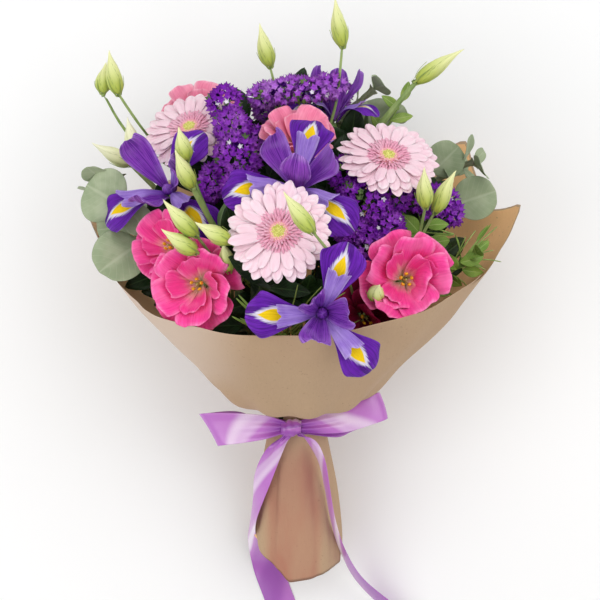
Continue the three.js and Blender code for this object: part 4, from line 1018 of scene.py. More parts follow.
def blade_shape(spine, ruffle, waves, phase, rounding, notch, roll, curl, rib, flute):
    """A petal along a spine of [radius, height, half width, cup], with a ruffled edge."""

    def shape(side, share):
        along = share * (1 - (rounding * side * side + notch * (1 - abs(side)) ** 2) * share**4)
        out, up, width, cup = read_smooth(spine, along)
        before = read_smooth(spine, along - 0.04)
        after = read_smooth(spine, along + 0.04)
        slope = math.atan2(after[1] - before[1], after[0] - before[0])
        ripple = math.sin(waves * side + 2.4 * share + phase)
        ripple += 0.55 * math.sin(2.3 * waves * side + 1.7 * phase)
        wave = ruffle * share * share * (0.2 + 0.8 * abs(side) ** 1.5) * ripple
        lift = cup * side * side + wave + roll * side - curl * max(share - 0.75, 0) ** 2 * 16
        lift += rib * math.exp(-((side / 0.22) ** 2)) * math.sin(math.pi * share)
        lift += flute * math.cos(7.5 * side + phase) * math.sin(math.pi * share)
        return out - lift * math.sin(slope), side * width, up + lift * math.cos(slope)

    return shape


petal_veins, given, made = start_effect(
    "Petal veins",
    [
        ("Body", "NodeSocketColor", (0.8, 0.2, 0.4, 1)),
        ("Edge", "NodeSocketColor", (0.9, 0.4, 0.5, 1)),
        ("Root", "NodeSocketColor", (0.9, 0.8, 0.5, 1)),
        ("Vein", "NodeSocketColor", (0.5, 0.1, 0.3, 1)),
        ("Root Reach", "NodeSocketFloat", 0.3),
        ("Vein Strength", "NodeSocketFloat", 0.3),
    ],
    [("Colour", "NodeSocketColor"), ("Height", "NodeSocketFloat")],
)
whole, across, along = own_map(petal_veins)
middle = from_middle(petal_veins, across)
streaks = eased(petal_veins, cloudy(petal_veins, whole, (26, 1.6, 1), 4, 0.6), 0.42, 0.68)
edges = maths(
    petal_veins, "MAXIMUM", eased(petal_veins, middle, 0.72, 1.0), eased(petal_veins, along, 0.78, 1.0)
)
uneven = cloudy(petal_veins, object_place(petal_veins), (90, 90, 90), 2)
edges = maths(petal_veins, "MULTIPLY", edges, eased(petal_veins, uneven, 0.32, 0.66, 0.1, 0.85))
colour = mixed(petal_veins, edges, given["Body"], given["Edge"])
near_root = eased(petal_veins, along, 0.0, given["Root Reach"], 1.0, 0.0)
colour = mixed(petal_veins, near_root, colour, given["Root"])
depth = maths(petal_veins, "MULTIPLY", streaks, given["Vein Strength"])
colour = mixed(petal_veins, depth, colour, given["Vein"])
blush = cloudy(petal_veins, object_place(petal_veins), (55, 55, 55), 2)
colour = mixed(petal_veins, eased(petal_veins, blush, 0.4, 0.75, 0.0, 0.35), colour, given["Edge"])
feed(petal_veins, made["Colour"], colour)
feed(petal_veins, made["Height"], streaks)


def petal_finish(name, body, edge, root, vein, root_reach, vein_strength):
    material, tree, shader = start_finish(name, Roughness=0.5, Specular_IOR_Level=0.14)
    effect = place_effect(
        tree, petal_veins, Body=dye(body), Edge=dye(edge), Root=dye(root), Vein=dye(vein),
        Root_Reach=root_reach, Vein_Strength=vein_strength,
    )
    feed(tree, shader.inputs["Base Color"], effect["Colour"])
    feed(tree, shader.inputs["Normal"], relief(tree, effect["Height"], 0.45, 0.0007))
    return material


# Gerberas. Large daisy heads: three layers of pale pink rays, a crown of short deep pink florets
# and a yellow-green heart of tiny closed ones, on a smooth leafless stem.
gerberas = [
    ("gerbera_centre", (-14, 158, 190), (-0.1, 0.2, 0.97), 0),
    ("gerbera_right", (74, 221, 122), (0.15, 0.66, 0.74), 9),
    ("gerbera_left", (-89, 248, 72), (-0.25, 0.62, 0.74), 4),
]
ray_finish = petal_finish("Gerbera ray", "fedbe7", "fff2f7", "f5a9c5", "f6b8cf", 0.4, 0.42)
crown_finish = petal_finish("Gerbera crown", "fcb3cd", "ffe4ee", "f084ad", "f294b7", 0.4, 0.3)


def heart_finish(name, light, dark):
    material, tree, shader = start_finish(name, Roughness=0.6)
    grain = cloudy(tree, object_place(tree), (900, 900, 900), 2)
    patches = eased(tree, grain, 0.35, 0.65)
    feed(tree, shader.inputs["Base Color"], mixed(tree, patches, dye(dark), dye(light)))
    feed(tree, shader.inputs["Normal"], relief(tree, grain, 0.4, 0.0004))
    return material


heart_middle = heart_finish("Gerbera heart", "eeea92", "c9c55a")
heart_rim = heart_finish("Gerbera heart rim", "fdd3cb", "f0a0b0")


def ray_shape(reach, half_width, low, lift, roll, droop):
    def shape(side, share):
        along = share * (1 - 0.12 * side * side * share**5)
        out = 6 + (reach - 6) * along + 0.35 * math.cos(3 * math.pi * side) * share**10
        opening = min(along / 0.62, 1)
        width = half_width * (0.24 + 0.76 * opening * opening * (3 - 2 * opening))
        width *= 1 - 0.2 * max((along - 0.75) / 0.25, 0) ** 2
        groove = 0.3 * math.cos(2.4 * math.pi * side) * math.sin(math.pi * share)
        height = low + lift * math.sin(1.9 * along) - droop * along**3 + roll * side * along + groove
        return out, side * width, height - 0.5 * side * side * opening

    return shape


def set_down(place, finish):
    """Moves the primitive just added to its place and gives it its finish."""
    piece = bpy.context.object
    piece.data.transform(place)
    piece.matrix_world = Matrix.Identity(4)
    piece.data.materials.append(finish)
    return piece


def copies(name, model, places, finish):
    """One piece with a copy of the model at each place."""
    made = bmesh.new()
    for place in places:
        start = len(made.verts)
        made.from_mesh(model.data)
        made.verts.ensure_lookup_table()
        bmesh.ops.transform(made, matrix=place, verts=made.verts[start:])
    mesh = bpy.data.meshes.new(name)
    made.to_mesh(mesh)
    made.free()
    mesh.materials.append(finish)
    return new_piece(name, mesh)


def needle_corner(side, share):
    height = 5.4 * math.sin(1.35 * share)
    width = 1.2 * (1 - 0.3 * share) * (1 - 0.5 * share**6)
    out = 5.6 * (1 - math.cos(1.3 * share)) + 0.6 * share
    return Vector((out, side * width, height - 0.3 * side * side)) * mm


needle = finish_sheet(bent_grid("needle", 2, 4, needle_corner), 0.3)
bpy.ops.mesh.primitive_ico_sphere_add(subdivisions=1, radius=0.85 * mm)
heart_floret = bpy.context.object
heart_floret.scale = (1, 1, 1.3)
deselect()
heart_floret.select_set(True)
bpy.ops.object.transform_apply(location=False, rotation=False, scale=True)
heart_floret.data.shade_smooth()
golden = math.radians(137.508)

# Count, reach, half width, height and lift of each layer of rays.
ray_layers = [(24, 43, 5.0, -3.6, 3.4), (22, 40, 4.6, -2.6, 4.2), (16, 34, 4.3, -1.4, 5.2)]
# Count, radius, tilt and size of each ring of the crown.
crown_rings = [(24, 6.4, 0.1, 0.9), (30, 8.4, 0.35, 1.05), (36, 10.6, 0.6, 1.15), (42, 13.0, 0.9, 1.2)]
heart_florets = 96
heart_radius = 7.4

for plant, place, facing, start in gerberas:
    random = Random(plant)
    head = head_frame(place, facing)
    own = {f"{plant}_stem"}
    rays = []
    for layer, (count, reach, half_width, low, lift) in enumerate(ray_layers):
        for index in range(count):
            shape = ray_shape(
                reach * random.uniform(0.95, 1.0), half_width * random.uniform(0.9, 1.08), low,
                lift + random.uniform(-0.8, 0.8), random.uniform(0.3, 1.3), random.uniform(0.6, 3.2),
            )
            angle = start + (index + 0.37 * layer) * 360 / count + random.uniform(-2.5, 2.5)
            rays.append(add_petal(plant, own, head, shape, angle, (4, 8), ray_finish, 0.32))
    hand_over(f"{plant}_rays", rays, "gerbera_petal", f"{plant}_petals")
    crown_places = []
    for count, radius, tilt, size in crown_rings:
        for index in range(count):
            turn = Matrix.Rotation(2 * math.pi * (index + random.random() * 0.5) / count, 4, "Z")
            set_out = Matrix.Translation((radius * mm, 0, 0.5 * mm))
            leaned = Matrix.Rotation(tilt + random.uniform(-0.15, 0.15), 4, "Y")
            grown = Matrix.Scale(size * random.uniform(0.85, 1.1), 4)
            crown_places.append(head @ turn @ set_out @ leaned @ grown)
    crown = copies(f"{plant}_crown", needle, crown_places, crown_finish)
    crown.data.shade_smooth()
    heart_places = {"middle": [], "rim": []}
    for index in range(heart_florets):
        radius = heart_radius * math.sqrt((index + 0.5) / heart_florets)
        turn = golden * index
        height = 2.6 - 1.6 * (radius / heart_radius - 0.55) ** 2 * 2
        spot = Vector((radius * math.cos(turn), radius * math.sin(turn), height)) * mm
        heart_places["middle" if radius < 5 else "rim"].append(head @ Matrix.Translation(spot))
    bpy.ops.mesh.primitive_cone_add(vertices=24, radius1=8 * mm, radius2=6.5 * mm, depth=4 * mm)
    cushion = set_down(head @ Matrix.Translation((0, 0, 0.6 * mm)), heart_middle)
    bpy.ops.mesh.primitive_cone_add(vertices=32, radius1=12.5 * mm, radius2=7 * mm, depth=2.6 * mm)
    bed = set_down(head @ Matrix.Translation((0, 0, 0.9 * mm)), heart_rim)
    hearts = [
        bed,
        cushion,
        copies("heart_middle", heart_floret, heart_places["middle"], heart_middle),
        copies("heart_rim", heart_floret, heart_places["rim"], heart_rim),
        crown,
    ]
    hand_over(f"{plant}_disc", hearts, "gerbera_heart", f"{plant}_heart")
for model in (needle, heart_floret):
    bpy.data.objects.remove(model)


# Irises. Three violet falls with a yellow signal edged in white, three upright standards between
# them, and over each fall a lavender style arm that ends in a ruffled crest.
irises = [
    ("iris_low", (20, 94, 204), (0.05, -0.1, 0.99), (180, -49, 70)),
    ("iris_centre", (0, 197, 160), (0, 0.35, 0.94), (-170, -40, 75)),
    ("iris_left", (-108, 198, 92), (-0.3, 0.35, 0.88), (-156, 46, -50)),
    ("iris_top", (32, 268, 62), (0.1, 0.93, 0.36), (205, 330, 90)),
]
fall_spine = [(5.5, -14, 2.6, 0.3), (22, 1, 7, 1.6), (46, 4, 18.5, -1), (61, -7, 12, -3)]
standard_spine = [(4, -11.8, 1.9, 0), (15, 8, 8, 2.4), (26, 30, 13, -3), (28, 48, 6.5, -3)]
arm_spine = [(2.6, -9.4, 1.6, 0), (15, 6, 5.5, -1.8), (28, 12, 8.5, -2.2), (38, 20, 10, 0.5)]
standard_finish = petal_finish("Iris standard", "964bc4", "c096e4", "8440ac", "4c1086", 0.3, 0.95)
arm_finish = petal_finish("Iris style arm", "a684d8", "cbb6ee", "8648bc", "7246ba", 0.5, 0.6)

fall_finish, tree, shader = start_finish("Iris fall", Roughness=0.55, Specular_IOR_Level=0.14)
effect = place_effect(
    tree, petal_veins, Body=dye("6219a2"), Edge=dye("7f38c0"), Root=dye("7a38b0"), Vein=dye("30055c"),
    Root_Reach=0.3, Vein_Strength=0.8,
)
whole, across, along = own_map(tree)
middle = from_middle(tree, across)
ragged = cloudy(tree, whole, (30, 4, 1), 3)
tapering = eased(tree, along, 0.52, 0.8, 0.34, 0.0)
halo_taper = eased(tree, along, 0.5, 0.92, 0.46, 0.0)
begun = eased(tree, along, 0.4, 0.46)
inside_signal = eased(tree, maths(tree, "SUBTRACT", tapering, middle), 0.0, 0.05)
signal = maths(tree, "MULTIPLY", begun, inside_signal)
frayed = maths(tree, "MULTIPLY_ADD", ragged, 0.4, maths(tree, "SUBTRACT", halo_taper, middle))
halo = maths(tree, "MULTIPLY", begun, eased(tree, frayed, 0.14, 0.3))
colour = mixed(tree, maths(tree, "MULTIPLY", halo, 0.9), effect["Colour"], dye("e9e4f4"))
colour = mixed(tree, signal, colour, dye("f7cf12"))
feed(tree, shader.inputs["Base Color"], colour)
feed(tree, shader.inputs["Normal"], relief(tree, effect["Height"], 0.6, 0.0008))


def gap_middles(falls):
    ordered = sorted(falls)
    return [(one + other) / 2 for one, other in zip(ordered, ordered[1:] + [ordered[0] + 360])]


def sunk_head(place, facing, grown, depth):
    """The frame of a head drawn smaller, sunk so that it still meets its stem."""
    sunk = Matrix.Translation((0, 0, -depth * (1 - grown) * mm))
    return head_frame(place, facing) @ sunk @ Matrix.Scale(grown, 4)


smaller_irises = {"iris_top": 0.72}
upright_standards = {"iris_low": 0.6}
iris_depth = 14
for plant, place, facing, falls in irises:
    random = Random(plant)
    grown = smaller_irises.get(plant, 1)
    head = sunk_head(place, facing, grown, iris_depth)
    own = {f"{plant}_stem"}
    petals = []
    for angle in falls:
        phase = random.uniform(0, 6)
        shape = blade_shape(fall_spine, 2.2, 6.0, phase, 0.26, 0.03, random.uniform(-2, 2), 0.6, 1.1, 0.7)
        petals.append(add_petal(plant, own, head, shape, angle, (12, 18), fall_finish, 0.5))
    spread = upright_standards.get(plant, 1)
    spine = [(out * spread, up, width, cup) for out, up, width, cup in standard_spine]
    for angle in gap_middles(falls):
        phase = random.uniform(0, 6)
        shape = blade_shape(spine, 2.4, 5.0, phase, 0.12, 0.04, random.uniform(-3, 3), 0.0, -1.6, 1.3)
        petals.append(add_petal(plant, own, head, shape, angle, (10, 16), standard_finish, 0.5))
    for angle in falls:
        shape = blade_shape(arm_spine, 1.7, 9.0, random.uniform(0, 6), 0.1, 0.22, 0.0, -0.4, 1.2, 0.6)
        petals.append(add_petal(plant, own, head, shape, angle, (12, 14), arm_finish, 0.5))
    bpy.ops.mesh.primitive_uv_sphere_add(segments=12, ring_count=8, radius=1)
    oval = Matrix.Diagonal((4.6 * mm, 4.6 * mm, 6 * mm, 1))
    throat = set_down(head @ Matrix.Translation((0, 0, -5 * mm)) @ oval, standard_finish)
    throat.data.shade_smooth()
    petals.append(throat)
    hand_over(f"{plant}_flower", petals, "iris_petal", f"{plant}_bloom")


# Lisianthus blooms. Rings of broad silky petals with ruffled edges round a pale yellow-green
# throat, where five yellow anthers stand round the pistil.
rose = petal_finish("Lisianthus pink", "f94a9e", "ff97c6", "fbf2c6", "de2a7c", 0.42, 0.5)
coral = petal_finish("Lisianthus coral", "f687ab", "fcc2d1", "f8e2bc", "e0648b", 0.34, 0.5)
blush_pink = petal_finish("Lisianthus blush", "f48fae", "fbc6d4", "f8e2c4", "df6b93", 0.34, 0.5)
crimson = petal_finish("Lisianthus crimson", "8e1440", "b02a5c", "8a5a40", "640a2c", 0.22, 0.35)
anther_finish = heart_finish("Lisianthus anther", "f4cf2a", "cf9410")
pistil_finish = heart_finish("Lisianthus pistil", "c9d47a", "93a648")
# Plant, node, place, facing, first angle, finish and slot of each bloom.
blooms = [
    ("lisianthus_left", "lisianthus_left_bloom", (-80, 117, 158), (-0.25, -0.08, 0.96), 90, rose,
     "lisianthus_pink"),
    ("lisianthus_left", "lisianthus_bloom_upper_left", (-107, 151, 118), (-0.5, 0.25, 0.83), 90, rose,
     "lisianthus_pink"),
    ("lisianthus_right", "lisianthus_right_bloom", (87, 121, 158), (0.15, 0, 0.98), 45, rose,
     "lisianthus_pink"),
    ("lisianthus_top_left", "lisianthus_top_left_bloom", (-84, 267, 40), (-0.1, 0.75, 0.65), 90, blush_pink,
     "lisianthus_pink"),
    ("lisianthus_top", "lisianthus_top_bloom", (0, 241, 108), (0, 0.7, 0.7), 90, coral,
     "lisianthus_coral"),
    ("lisianthus_low", "lisianthus_low_bloom", (57, 90, 138), (0.2, -0.1, 0.97), 0, crimson,
     "lisianthus_crimson"),
]
# Count, spine, ruffle, rounding and curl of each ring of petals.
petal_rings = [
    (5, [(5.5, -19.5, 3.2, 0), (18, -9, 13, 2.5), (32, 0, 20, 2.5), (39, 3, 16, -3)], 2.9, 0.24, 1.2),
    (5, [(4, -17.8, 2.3, 0), (15, -2, 13, 3.5), (27, 12, 17, 2), (33, 17, 13, -2)], 2.8, 0.22, 1.2),
    (4, [(2.6, -16.1, 1.5, 0), (11, -5, 8, 3), (19, 8, 12, 3), (22, 14, 9, 1)], 2.2, 0.22, 0.6),
]

smaller_blooms = {
    "lisianthus_top_left_bloom": 0.82, "lisianthus_top_bloom": 0.8, "lisianthus_bloom_upper_left": 0.8,
    "lisianthus_left_bloom": 0.95,
}
bloom_depth = 19
for plant, bloom, place, facing, start, finish, slot in blooms:
    random = Random(bloom)
    grown = smaller_blooms.get(bloom, 1)
    head = sunk_head(place, facing, grown, bloom_depth)
    own = {f"{plant}_spray"}
    petals = []
    for ring, (count, spine, ruffle, rounding, curl) in enumerate(petal_rings):
        for index in range(count):
            angle = start + (index + 0.5 * ring) * 360 / count + random.uniform(-7, 7)
            shape = blade_shape(
                spine, ruffle * random.uniform(1.0, 1.5), random.uniform(5, 8), random.uniform(0, 6),
                rounding, random.uniform(-0.03, 0.09), random.uniform(0.5, 4.0), curl,
                random.uniform(-1.2, 1.2), 0.8,
            )
            petals.append(add_petal(bloom, own, head, shape, angle, (10, 10), finish, 0.35))
    for index in range(5):
        turn = 2 * math.pi * index / 5 + 0.3
        foot = Vector((1.2 * math.cos(turn), 1.2 * math.sin(turn), -14))
        top = Vector((4.6 * math.cos(turn), 4.6 * math.sin(turn), -1))
        bpy.ops.mesh.primitive_uv_sphere_add(segments=8, ring_count=6, radius=1)
        oval = Matrix.Rotation(turn, 4, "Z") @ Matrix.Diagonal((1.3 * mm, 1.7 * mm, 3.0 * mm, 1))
        anther = set_down(head @ Matrix.Translation(top * mm) @ oval, anther_finish)
        anther.data.shade_smooth()
        length = (top - foot).length
        bpy.ops.mesh.primitive_cone_add(vertices=6, radius1=0.55 * mm, radius2=0.35 * mm, depth=length * mm)
        leaning_out = (top - foot).to_track_quat("Z", "Y").to_matrix().to_4x4()
        filament = set_down(head @ Matrix.Translation((top + foot) / 2 * mm) @ leaning_out, pistil_finish)
        petals += [anther, filament]
    bpy.ops.mesh.primitive_uv_sphere_add(segments=12, ring_count=8, radius=1)
    pistil = bpy.context.object
    for corner in pistil.data.vertices:
        waist = 0.55 + 0.45 * abs(corner.co.z) ** 2
        place = Vector((corner.co.x * 1.7 * waist, corner.co.y * 1.7 * waist, corner.co.z * 8 - 8))
        corner.co = head @ (place * mm)
    pistil.data.materials.append(pistil_finish)
    pistil.data.shade_smooth()
    petals.append(pistil)
    hand_over(f"{bloom.replace('_bloom', '')}_flower", petals, slot, bloom)


# Statice. Sprays of small papery purple funnels packed on short green branchlets, with a few
# tiny white flowers among them.
# The inner funnels, deep inside each group, take a darker copy of the purple: painted shade. The outer
# funnels of statice_top take a lighter copy: painted light.
statice_finish = petal_finish("Statice funnel", "9029c0", "cf7eec", "400a70", "6012a0", 0.4, 0.55)
statice_shade = petal_finish("Statice funnel in shade", "551090", "8430ba", "2c0850", "3c0c6c", 0.5, 0.6)
statice_lit = petal_finish("Statice funnel in light", "b055d6", "e4aef5", "5a1890", "7c2ab8", 0.4, 0.5)
statice_green = stem_finish("Statice calyx", "7d9650", "4d6632")
statice_white = petal_finish("Statice white flower", "f4effa", "ffffff", "c9b6e6", "dccdf0", 0.3, 0.2)


def funnel_corner(side, share):
    turn = math.pi * side
    lobe = 0.5 + 0.5 * math.cos(5 * turn)
    ring = round(share * 4)
    radius = (0, 0.8, 2.3 + 1.5 * lobe, 1.1, 0)[ring]
    height = (0, 2.0, 4.6 + 1.9 * lobe, 3.2, 2.6)[ring]
    return Vector((radius * math.cos(turn), radius * math.sin(turn), height - 3)) * mm


funnel = bent_grid("funnel", 10, 4, funnel_corner)
weld_ends(funnel, 0.00002)
made = bmesh.new()
made.from_mesh(funnel.data)
bmesh.ops.recalc_face_normals(made, faces=made.faces)
made.to_mesh(funnel.data)
made.free()
funnel.data.shade_smooth()

# The middle and half sizes of each group of flowers.
statice_lobes = {
    "statice_top": [
        ((6, 271, 51), (34, 13, 15)), ((-22, 268, 44), (14, 12, 12)), ((30, 280, 48), (15, 12, 12)),
        ((4, 282, 58), (22, 9, 11)), ((0, 278, 86), (28, 9, 10)), ((-27, 275, 74), (12, 9, 10)),
        ((28, 282, 80), (13, 9, 10)),
    ],
    "statice_left": [
        ((-49, 220, 110), (17, 17, 15)), ((-46, 198, 118), (13, 14, 12)), ((-53, 246, 96), (13, 15, 12)),
        ((-60, 268, 78), (12, 14, 11)), ((-36, 182, 118), (10, 10, 10)), ((-70, 200, 104), (9, 14, 9)),
        ((-32, 234, 88), (10, 12, 10)),
    ],
    "statice_right": [
        ((54, 184, 128), (20, 17, 14)), ((40, 208, 116), (13, 14, 12)), ((72, 164, 122), (14, 15, 12)),
        ((56, 152, 124), (15, 15, 12)), ((80, 190, 112), (12, 12, 11)), ((44, 162, 126), (12, 13, 11)),
    ],
    "statice_low": [
        ((112, 186, 96), (18, 12, 12)), ((126, 176, 90), (10, 9, 9)), ((98, 190, 106), (11, 10, 10)),
    ],
}


green_ends = ("_stem", "_spray")
green_starts = ("eucalyptus", "foliage", "sprig", "grass")
stem_trees = {
    node: in_the_way[node][0]
    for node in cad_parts
    if node.endswith(green_ends) or node.startswith(green_starts)
}


def nearest_stem(place, nodes):
    """The nearest point on the stems, in millimetres like the place."""
    found = [stem_trees[node].find_nearest(at(*place)) for node in nodes]
    spot = min(found, key=lambda hit: hit[3])[0]
    return (spot - neck) / mm


def clear_of_all(place, room, own):
    for other, trees in in_the_way.items():
        if other in own:
            continue
        for tree in trees:
            if tree.find_nearest(place, room * mm)[0] is not None:
                return False
    return True


funnel_room = 3.2
white_share = 0.035
green_share = {"inner": 0.35, "outer": 0.04}
for plant, lobes in statice_lobes.items():
    random = Random(plant)
    own = {f"{plant}_stem"}
    places = {"outer": [], "inner": [], "white": [], "green": []}
    for middle, size in lobes:
        for layer, share, spacing in (("inner", 0.62, 5.6), ("outer", 1.0, 5.2)):
            spread = (size[0] * size[1] + size[1] * size[2]) / 2
            count = int(4 * math.pi * share * share * spread / spacing**2)
            for index in range(count):
                height = 1 - 2 * (index + 0.5) / count
                if height < -0.45:
                    continue
                turn = golden * index
                flat = math.sqrt(1 - height * height)
                out = Vector((flat * math.cos(turn), flat * math.sin(turn), height))
                reach = Vector(o * s for o, s in zip(out, size)) * share * random.uniform(0.88, 1.1)
                spot = Vector(middle) + reach
                if not clear_of_all(at(*spot), funnel_room, own):
                    continue
                outward = Vector(o / s for o, s in zip(out, size)).normalized()
                facing = (outward + Vector((0, 0.15, 0.5))).normalized()
                tilt = Vector((random.uniform(-0.4, 0.4), random.uniform(-0.4, 0.4), 0))
                kind = "white" if layer == "outer" and random.random() < white_share else layer
                if random.random() < green_share[layer]:
                    kind = "green"
                grown = Matrix.Scale(random.uniform(0.8, 1.2) * (0.62 if kind == "white" else 1.0), 4)
                spin = Matrix.Rotation(random.uniform(0, 6.28), 4, "Z")
                places[kind].append(head_frame(spot, facing + tilt) @ spin @ grown)
    parts = [
        copies(f"{plant}_{kind}", funnel, places[kind], finish)
        for kind, finish in (
            ("outer", statice_lit if plant == "statice_top" else statice_finish),
            ("inner", statice_shade), ("white", statice_white), ("green", statice_green),
        )
    ]
    for index, (middle, size) in enumerate(lobes):
        low = Vector(middle) - Vector((0, 22, 16))
        start = nearest_stem(low, [f"{plant}_stem"])
        route = [start, (start + Vector(middle)) / 2 + Vector((0, -3, 3)), Vector(middle)]
        parts.append(rod(f"{plant}_branchlet_{index}", route, 1.1, fresh_stem))
    spikes = hand_over(f"{plant}_spikes", parts, "statice_floret", f"{plant}_florets")
    in_the_way[plant] = [tree_of(spikes)]
bpy.data.objects.remove(funnel)


# Leafy branches. Eucalyptus with round sage leaves, dark filler between the blooms, and light green
# leaves and thin grass at the right. Each leaf grows from its branch.
picture_scale = 2160
picture_middle = 300


def seen_at(across, down, height):
    """The place at a height above the axis point that the camera sees at a point of its picture."""
    x, y, camera_height = camera_place
    scale = picture_scale / (camera_height - height)
    return Vector((x + (across - picture_middle) / scale, y + (picture_middle - down) / scale, height))


# Each try is a turn, a share of the leaf's length and a lift.
leaf_turns = [
    (0, 1, 0), (0.3, 1, 0), (-0.3, 1, 0), (0, 1, 8), (0, 1, -8), (0.6, 0.9, 0), (-0.6, 0.9, 0),
    (0, 0.8, 0), (0, 1, 16), (0, 0.9, -16), (0.9, 0.8, 0), (-0.9, 0.8, 0), (0, 0.65, 0),
]


def place_leaf(own, root, tip, facing, half_width, sag, kind, wave):
    """A leaf turned, lifted or shortened until it is clear: how much it touches, and its place."""
    start = at(*root)

    def turned(turn, short, lift):
        way = Matrix.Rotation(turn, 3, Vector(facing)) @ (Vector(tip) - Vector(root)) * short
        way.z += lift
        over = way.cross(Vector(facing)).normalized()
        up = over.cross(way).normalized()
        blade = (start, start + way * mm, over, up, half_width * short * mm, sag * mm)
        return leaf_corner(blade, kind, wave)

    return clearest((turned(*each) for each in leaf_turns), own)


fresh_leaf = leaf_finish("Fresh leaf", "9db257", "c2cf90", "779341", 0.5, 0.5)
grass_finish = stem_finish("Grass", "a3b765", "6f8a3c")


def added_leaves(node, leaves, kind, finish, stalk_finish, tilt):
    """Leaves at places seen in the picture, each on a short stalk from the nearest of its own stem."""
    random = Random(node)
    parts = []
    for index, (root, tip, half_width, *turned) in enumerate(leaves):
        root = seen_at(*root)
        tip = seen_at(*tip)
        facing = Vector((random.uniform(-tilt, tilt), random.uniform(-tilt, tilt), 1)).normalized()
        if turned:
            facing = Vector(turned[0]).normalized()
        own = {node, f"{node}_added"}
        touched, place, outline = place_leaf(own, root, tip, facing, half_width, 2, kind, index)
        start = nearest_stem(root, [node])
        middle = (start + root) / 2 + Vector((0, 0, 1.5))
        end = root + (tip - root).normalized() * 0.8
        parts.append(rod(f"{node}_stalk_{index}", [start, middle, end], 0.8, stalk_finish))
        blade = leaf_blade(f"{node}_added_{index}", place, finish, 10, 12)
        parts.append(blade)
        in_the_way.setdefault(f"{node}_added", []).append(outline)
    return parts


picture_leaves = {
    "eucalyptus_left": [
        ((126, 208, 76), (80, 181, 94), 27), ((146, 240, 76), (90, 259, 92), 24, (-0.1, 0.3, 0.95)),
        ((135, 224, 66), (97, 230, 56), 14), ((150, 236, 84), (128, 208, 78), 13),
    ],
    "eucalyptus_right": [
        ((430, 174, 28), (459, 146, 38), 17), ((450, 206, 36), (496, 191, 42), 19),
        ((428, 205, 30), (452, 224, 30), 11),
    ],
    "eucalyptus_top": [
        ((382, 134, 36), (366, 101, 46), 20), ((276, 124, 34), (265, 97, 40), 13),
        ((318, 124, 36), (334, 98, 42), 13), ((392, 118, 36), (404, 106, 44), 11),
    ],
    "sprig_right": [
        ((418, 232, 96), (401, 214, 104), 6.5), ((420, 238, 96), (399, 244, 100), 7),
        ((428, 226, 104), (446, 212, 100), 6), ((430, 244, 92), (450, 240, 88), 7),
        ((456, 268, 100), (446, 252, 104), 6), ((462, 262, 102), (484, 256, 100), 6),
        ((464, 270, 98), (482, 278, 96), 5), ((450, 276, 96), (462, 286, 92), 5),
    ],
}
branches = [
    ("eucalyptus_left", "eucalyptus", sage_stem, sage_leaf, "round"),
    ("eucalyptus_right", "eucalyptus", sage_stem, sage_leaf, "round"),
    ("eucalyptus_top", "eucalyptus", sage_stem, sage_leaf, "round"),
    ("foliage_back", "dark_leaf", woody_stem, dark_leaf, "oval"),
    ("foliage_back_right", "dark_leaf", woody_stem, dark_leaf, "oval"),
    ("foliage_front", "dark_leaf", woody_stem, dark_leaf, "oval"),
    ("sprig_right", "light_leaf", sprig_stem, sprig_leaf, "lance"),
]
grass_strands = {
    "sprig_right": [
        ((452, 272, 92), (498, 226, 96)), ((458, 268, 96), (502, 262, 92)),
        ((450, 274, 90), (490, 238, 108)), ((448, 272, 90), (476, 230, 100)),
        ((446, 276, 90), (466, 236, 108)), ((456, 272, 94), (494, 250, 84)),
        ((444, 280, 88), (470, 290, 90)), ((452, 270, 96), (486, 270, 104)),
    ],
    "grass_front": [
        ((292, 332, 130), (331, 300, 176)), ((290, 330, 132), (322, 286, 178)),
        ((286, 330, 132), (262, 298, 172)), ((296, 332, 130), (346, 292, 172)),
        ((288, 330, 134), (298, 284, 182)), ((284, 332, 130), (248, 306, 160)),
        ((298, 334, 128), (338, 312, 168)),
    ],
}


def strands(node, finish):
    parts = []
    for index, (root, tip) in enumerate(grass_strands[node]):
        start = nearest_stem(seen_at(*root), [node])
        end = seen_at(*tip)
        middle = (start + end) / 2 + Vector((2, 4, 6 - 3 * (index % 3)))
        parts.append(rod(f"{node}_strand_{index}", [start, middle, end], 0.75, finish, 5, 12))
    return parts


for node, slot, stem, leaf, kind in branches:
    parts = dressed_stem(node, stem, leaf, kind)
    tilt = 0.25 if kind == "round" else 0.5
    parts += added_leaves(node, picture_leaves.get(node, []), kind, leaf, stem, tilt)
    if node in grass_strands:
        parts += strands(node, grass_finish)
    hand_over(f"{node}_branch", parts, slot, node)
parts = dressed_stem("grass_front", sprig_stem) + strands("grass_front", grass_finish)
hand_over("grass_front_tuft", parts, "light_leaf", "grass_front")


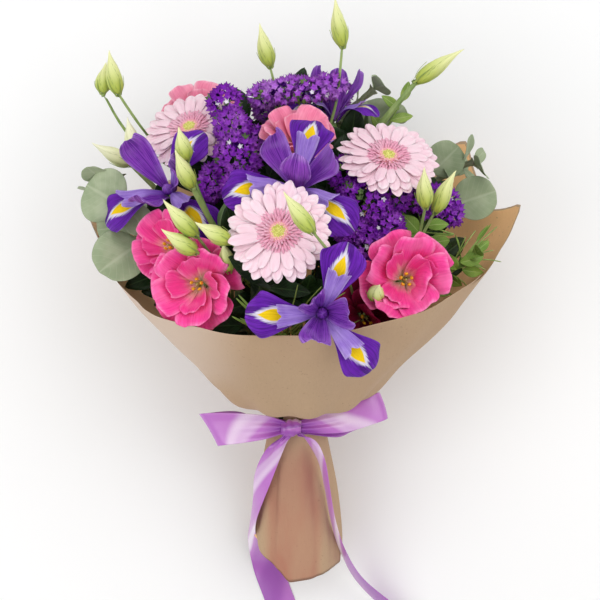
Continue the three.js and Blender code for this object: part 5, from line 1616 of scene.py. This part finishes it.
# Filler sprigs. Short side shoots, most of them dark green like the filler and a few light green, one in each
# gap between the blooms, growing from the nearest stem below. The dark green is partly the leaves' own colour
# and partly painted shade, for the shade in the gaps between the blooms. A leaf that finds no clear room is
# left out, so that some shoots have few leaves and two have none.
shaded_gaps = [
    (200, 232, 84), (228, 214, 80), (245, 190, 56), (214, 176, 70), (262, 168, 60), (334, 214, 92),
    (346, 242, 100), (350, 282, 112), (304, 296, 128), (250, 292, 118), (236, 322, 100), (424, 232, 76),
    (400, 256, 84), (416, 208, 66), (172, 236, 78), (312, 158, 52), (350, 146, 48), (292, 112, 28),
    (386, 238, 90), (160, 270, 70), (360, 316, 110), (436, 258, 60), (330, 180, 90), (238, 250, 110),
    (150, 210, 60), (245, 120, 20), (430, 190, 40), (216, 140, 40),
]
light_gaps = [
    (410, 222, 98), (398, 204, 106), (372, 268, 116), (364, 300, 122), (402, 100, 60), (222, 236, 124),
    (240, 276, 138),
]
filler_leaves = 7
first_leaf, leaf_step = 0.46, 0.09
gaps = [(place, False) for place in shaded_gaps] + [(place, True) for place in light_gaps]
for index, (place, fresh) in enumerate(gaps):
    random = Random(100 + index)
    name = f"filler_{index}"
    end = seen_at(*place)
    low = Vector((0, 62, 26))
    start = nearest_stem(low + (end - low) * 0.45, stem_trees)
    bow = Vector((random.uniform(-6, 6), random.uniform(-4, 4), -4))
    route = [tuple(start), tuple((start + end) / 2 + bow), tuple(end)]
    finish = fresh_leaf if fresh else dark_leaf
    parts = [rod(f"{name}_stem", route, 1.0, sprig_stem if fresh else woody_stem)]
    length, half_width = (20, 4.6) if fresh else (38, 10.5)
    for step in range(filler_leaves):
        share = first_leaf + leaf_step * step
        root = Vector(read_smooth(route, share))
        ahead = Vector(read_smooth(route, share + 0.05)) - Vector(read_smooth(route, share - 0.05))
        ahead = ahead.normalized()
        facing = Vector((random.uniform(-0.5, 0.5), random.uniform(-0.5, 0.3), 1)).normalized()
        turn = 0 if step == filler_leaves - 1 else (1 if step % 2 else -1) * random.uniform(0.6, 1.2)
        way = Matrix.Rotation(turn, 3, facing) @ ahead
        way = (way - facing * way.dot(facing) * 0.7).normalized()
        tip = root + way * length * random.uniform(0.8, 1.1)
        touched, place, outline = place_leaf({name}, root, tip, facing, half_width, 2, "oval", step)
        if touched > 0:
            continue
        in_the_way.setdefault(name, []).append(outline)
        detail = (4, 6, 1) if fresh else (4, 9, 0)
        parts.append(leaf_blade(f"{name}_leaf_{step}", place, finish, *detail))
    piece = join_pieces(name, parts)
    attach(piece, "root")


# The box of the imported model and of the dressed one, for comparison.
low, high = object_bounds()
{"cad": [list(cad_low), list(cad_high)], "visual": [list(low), list(high)]}
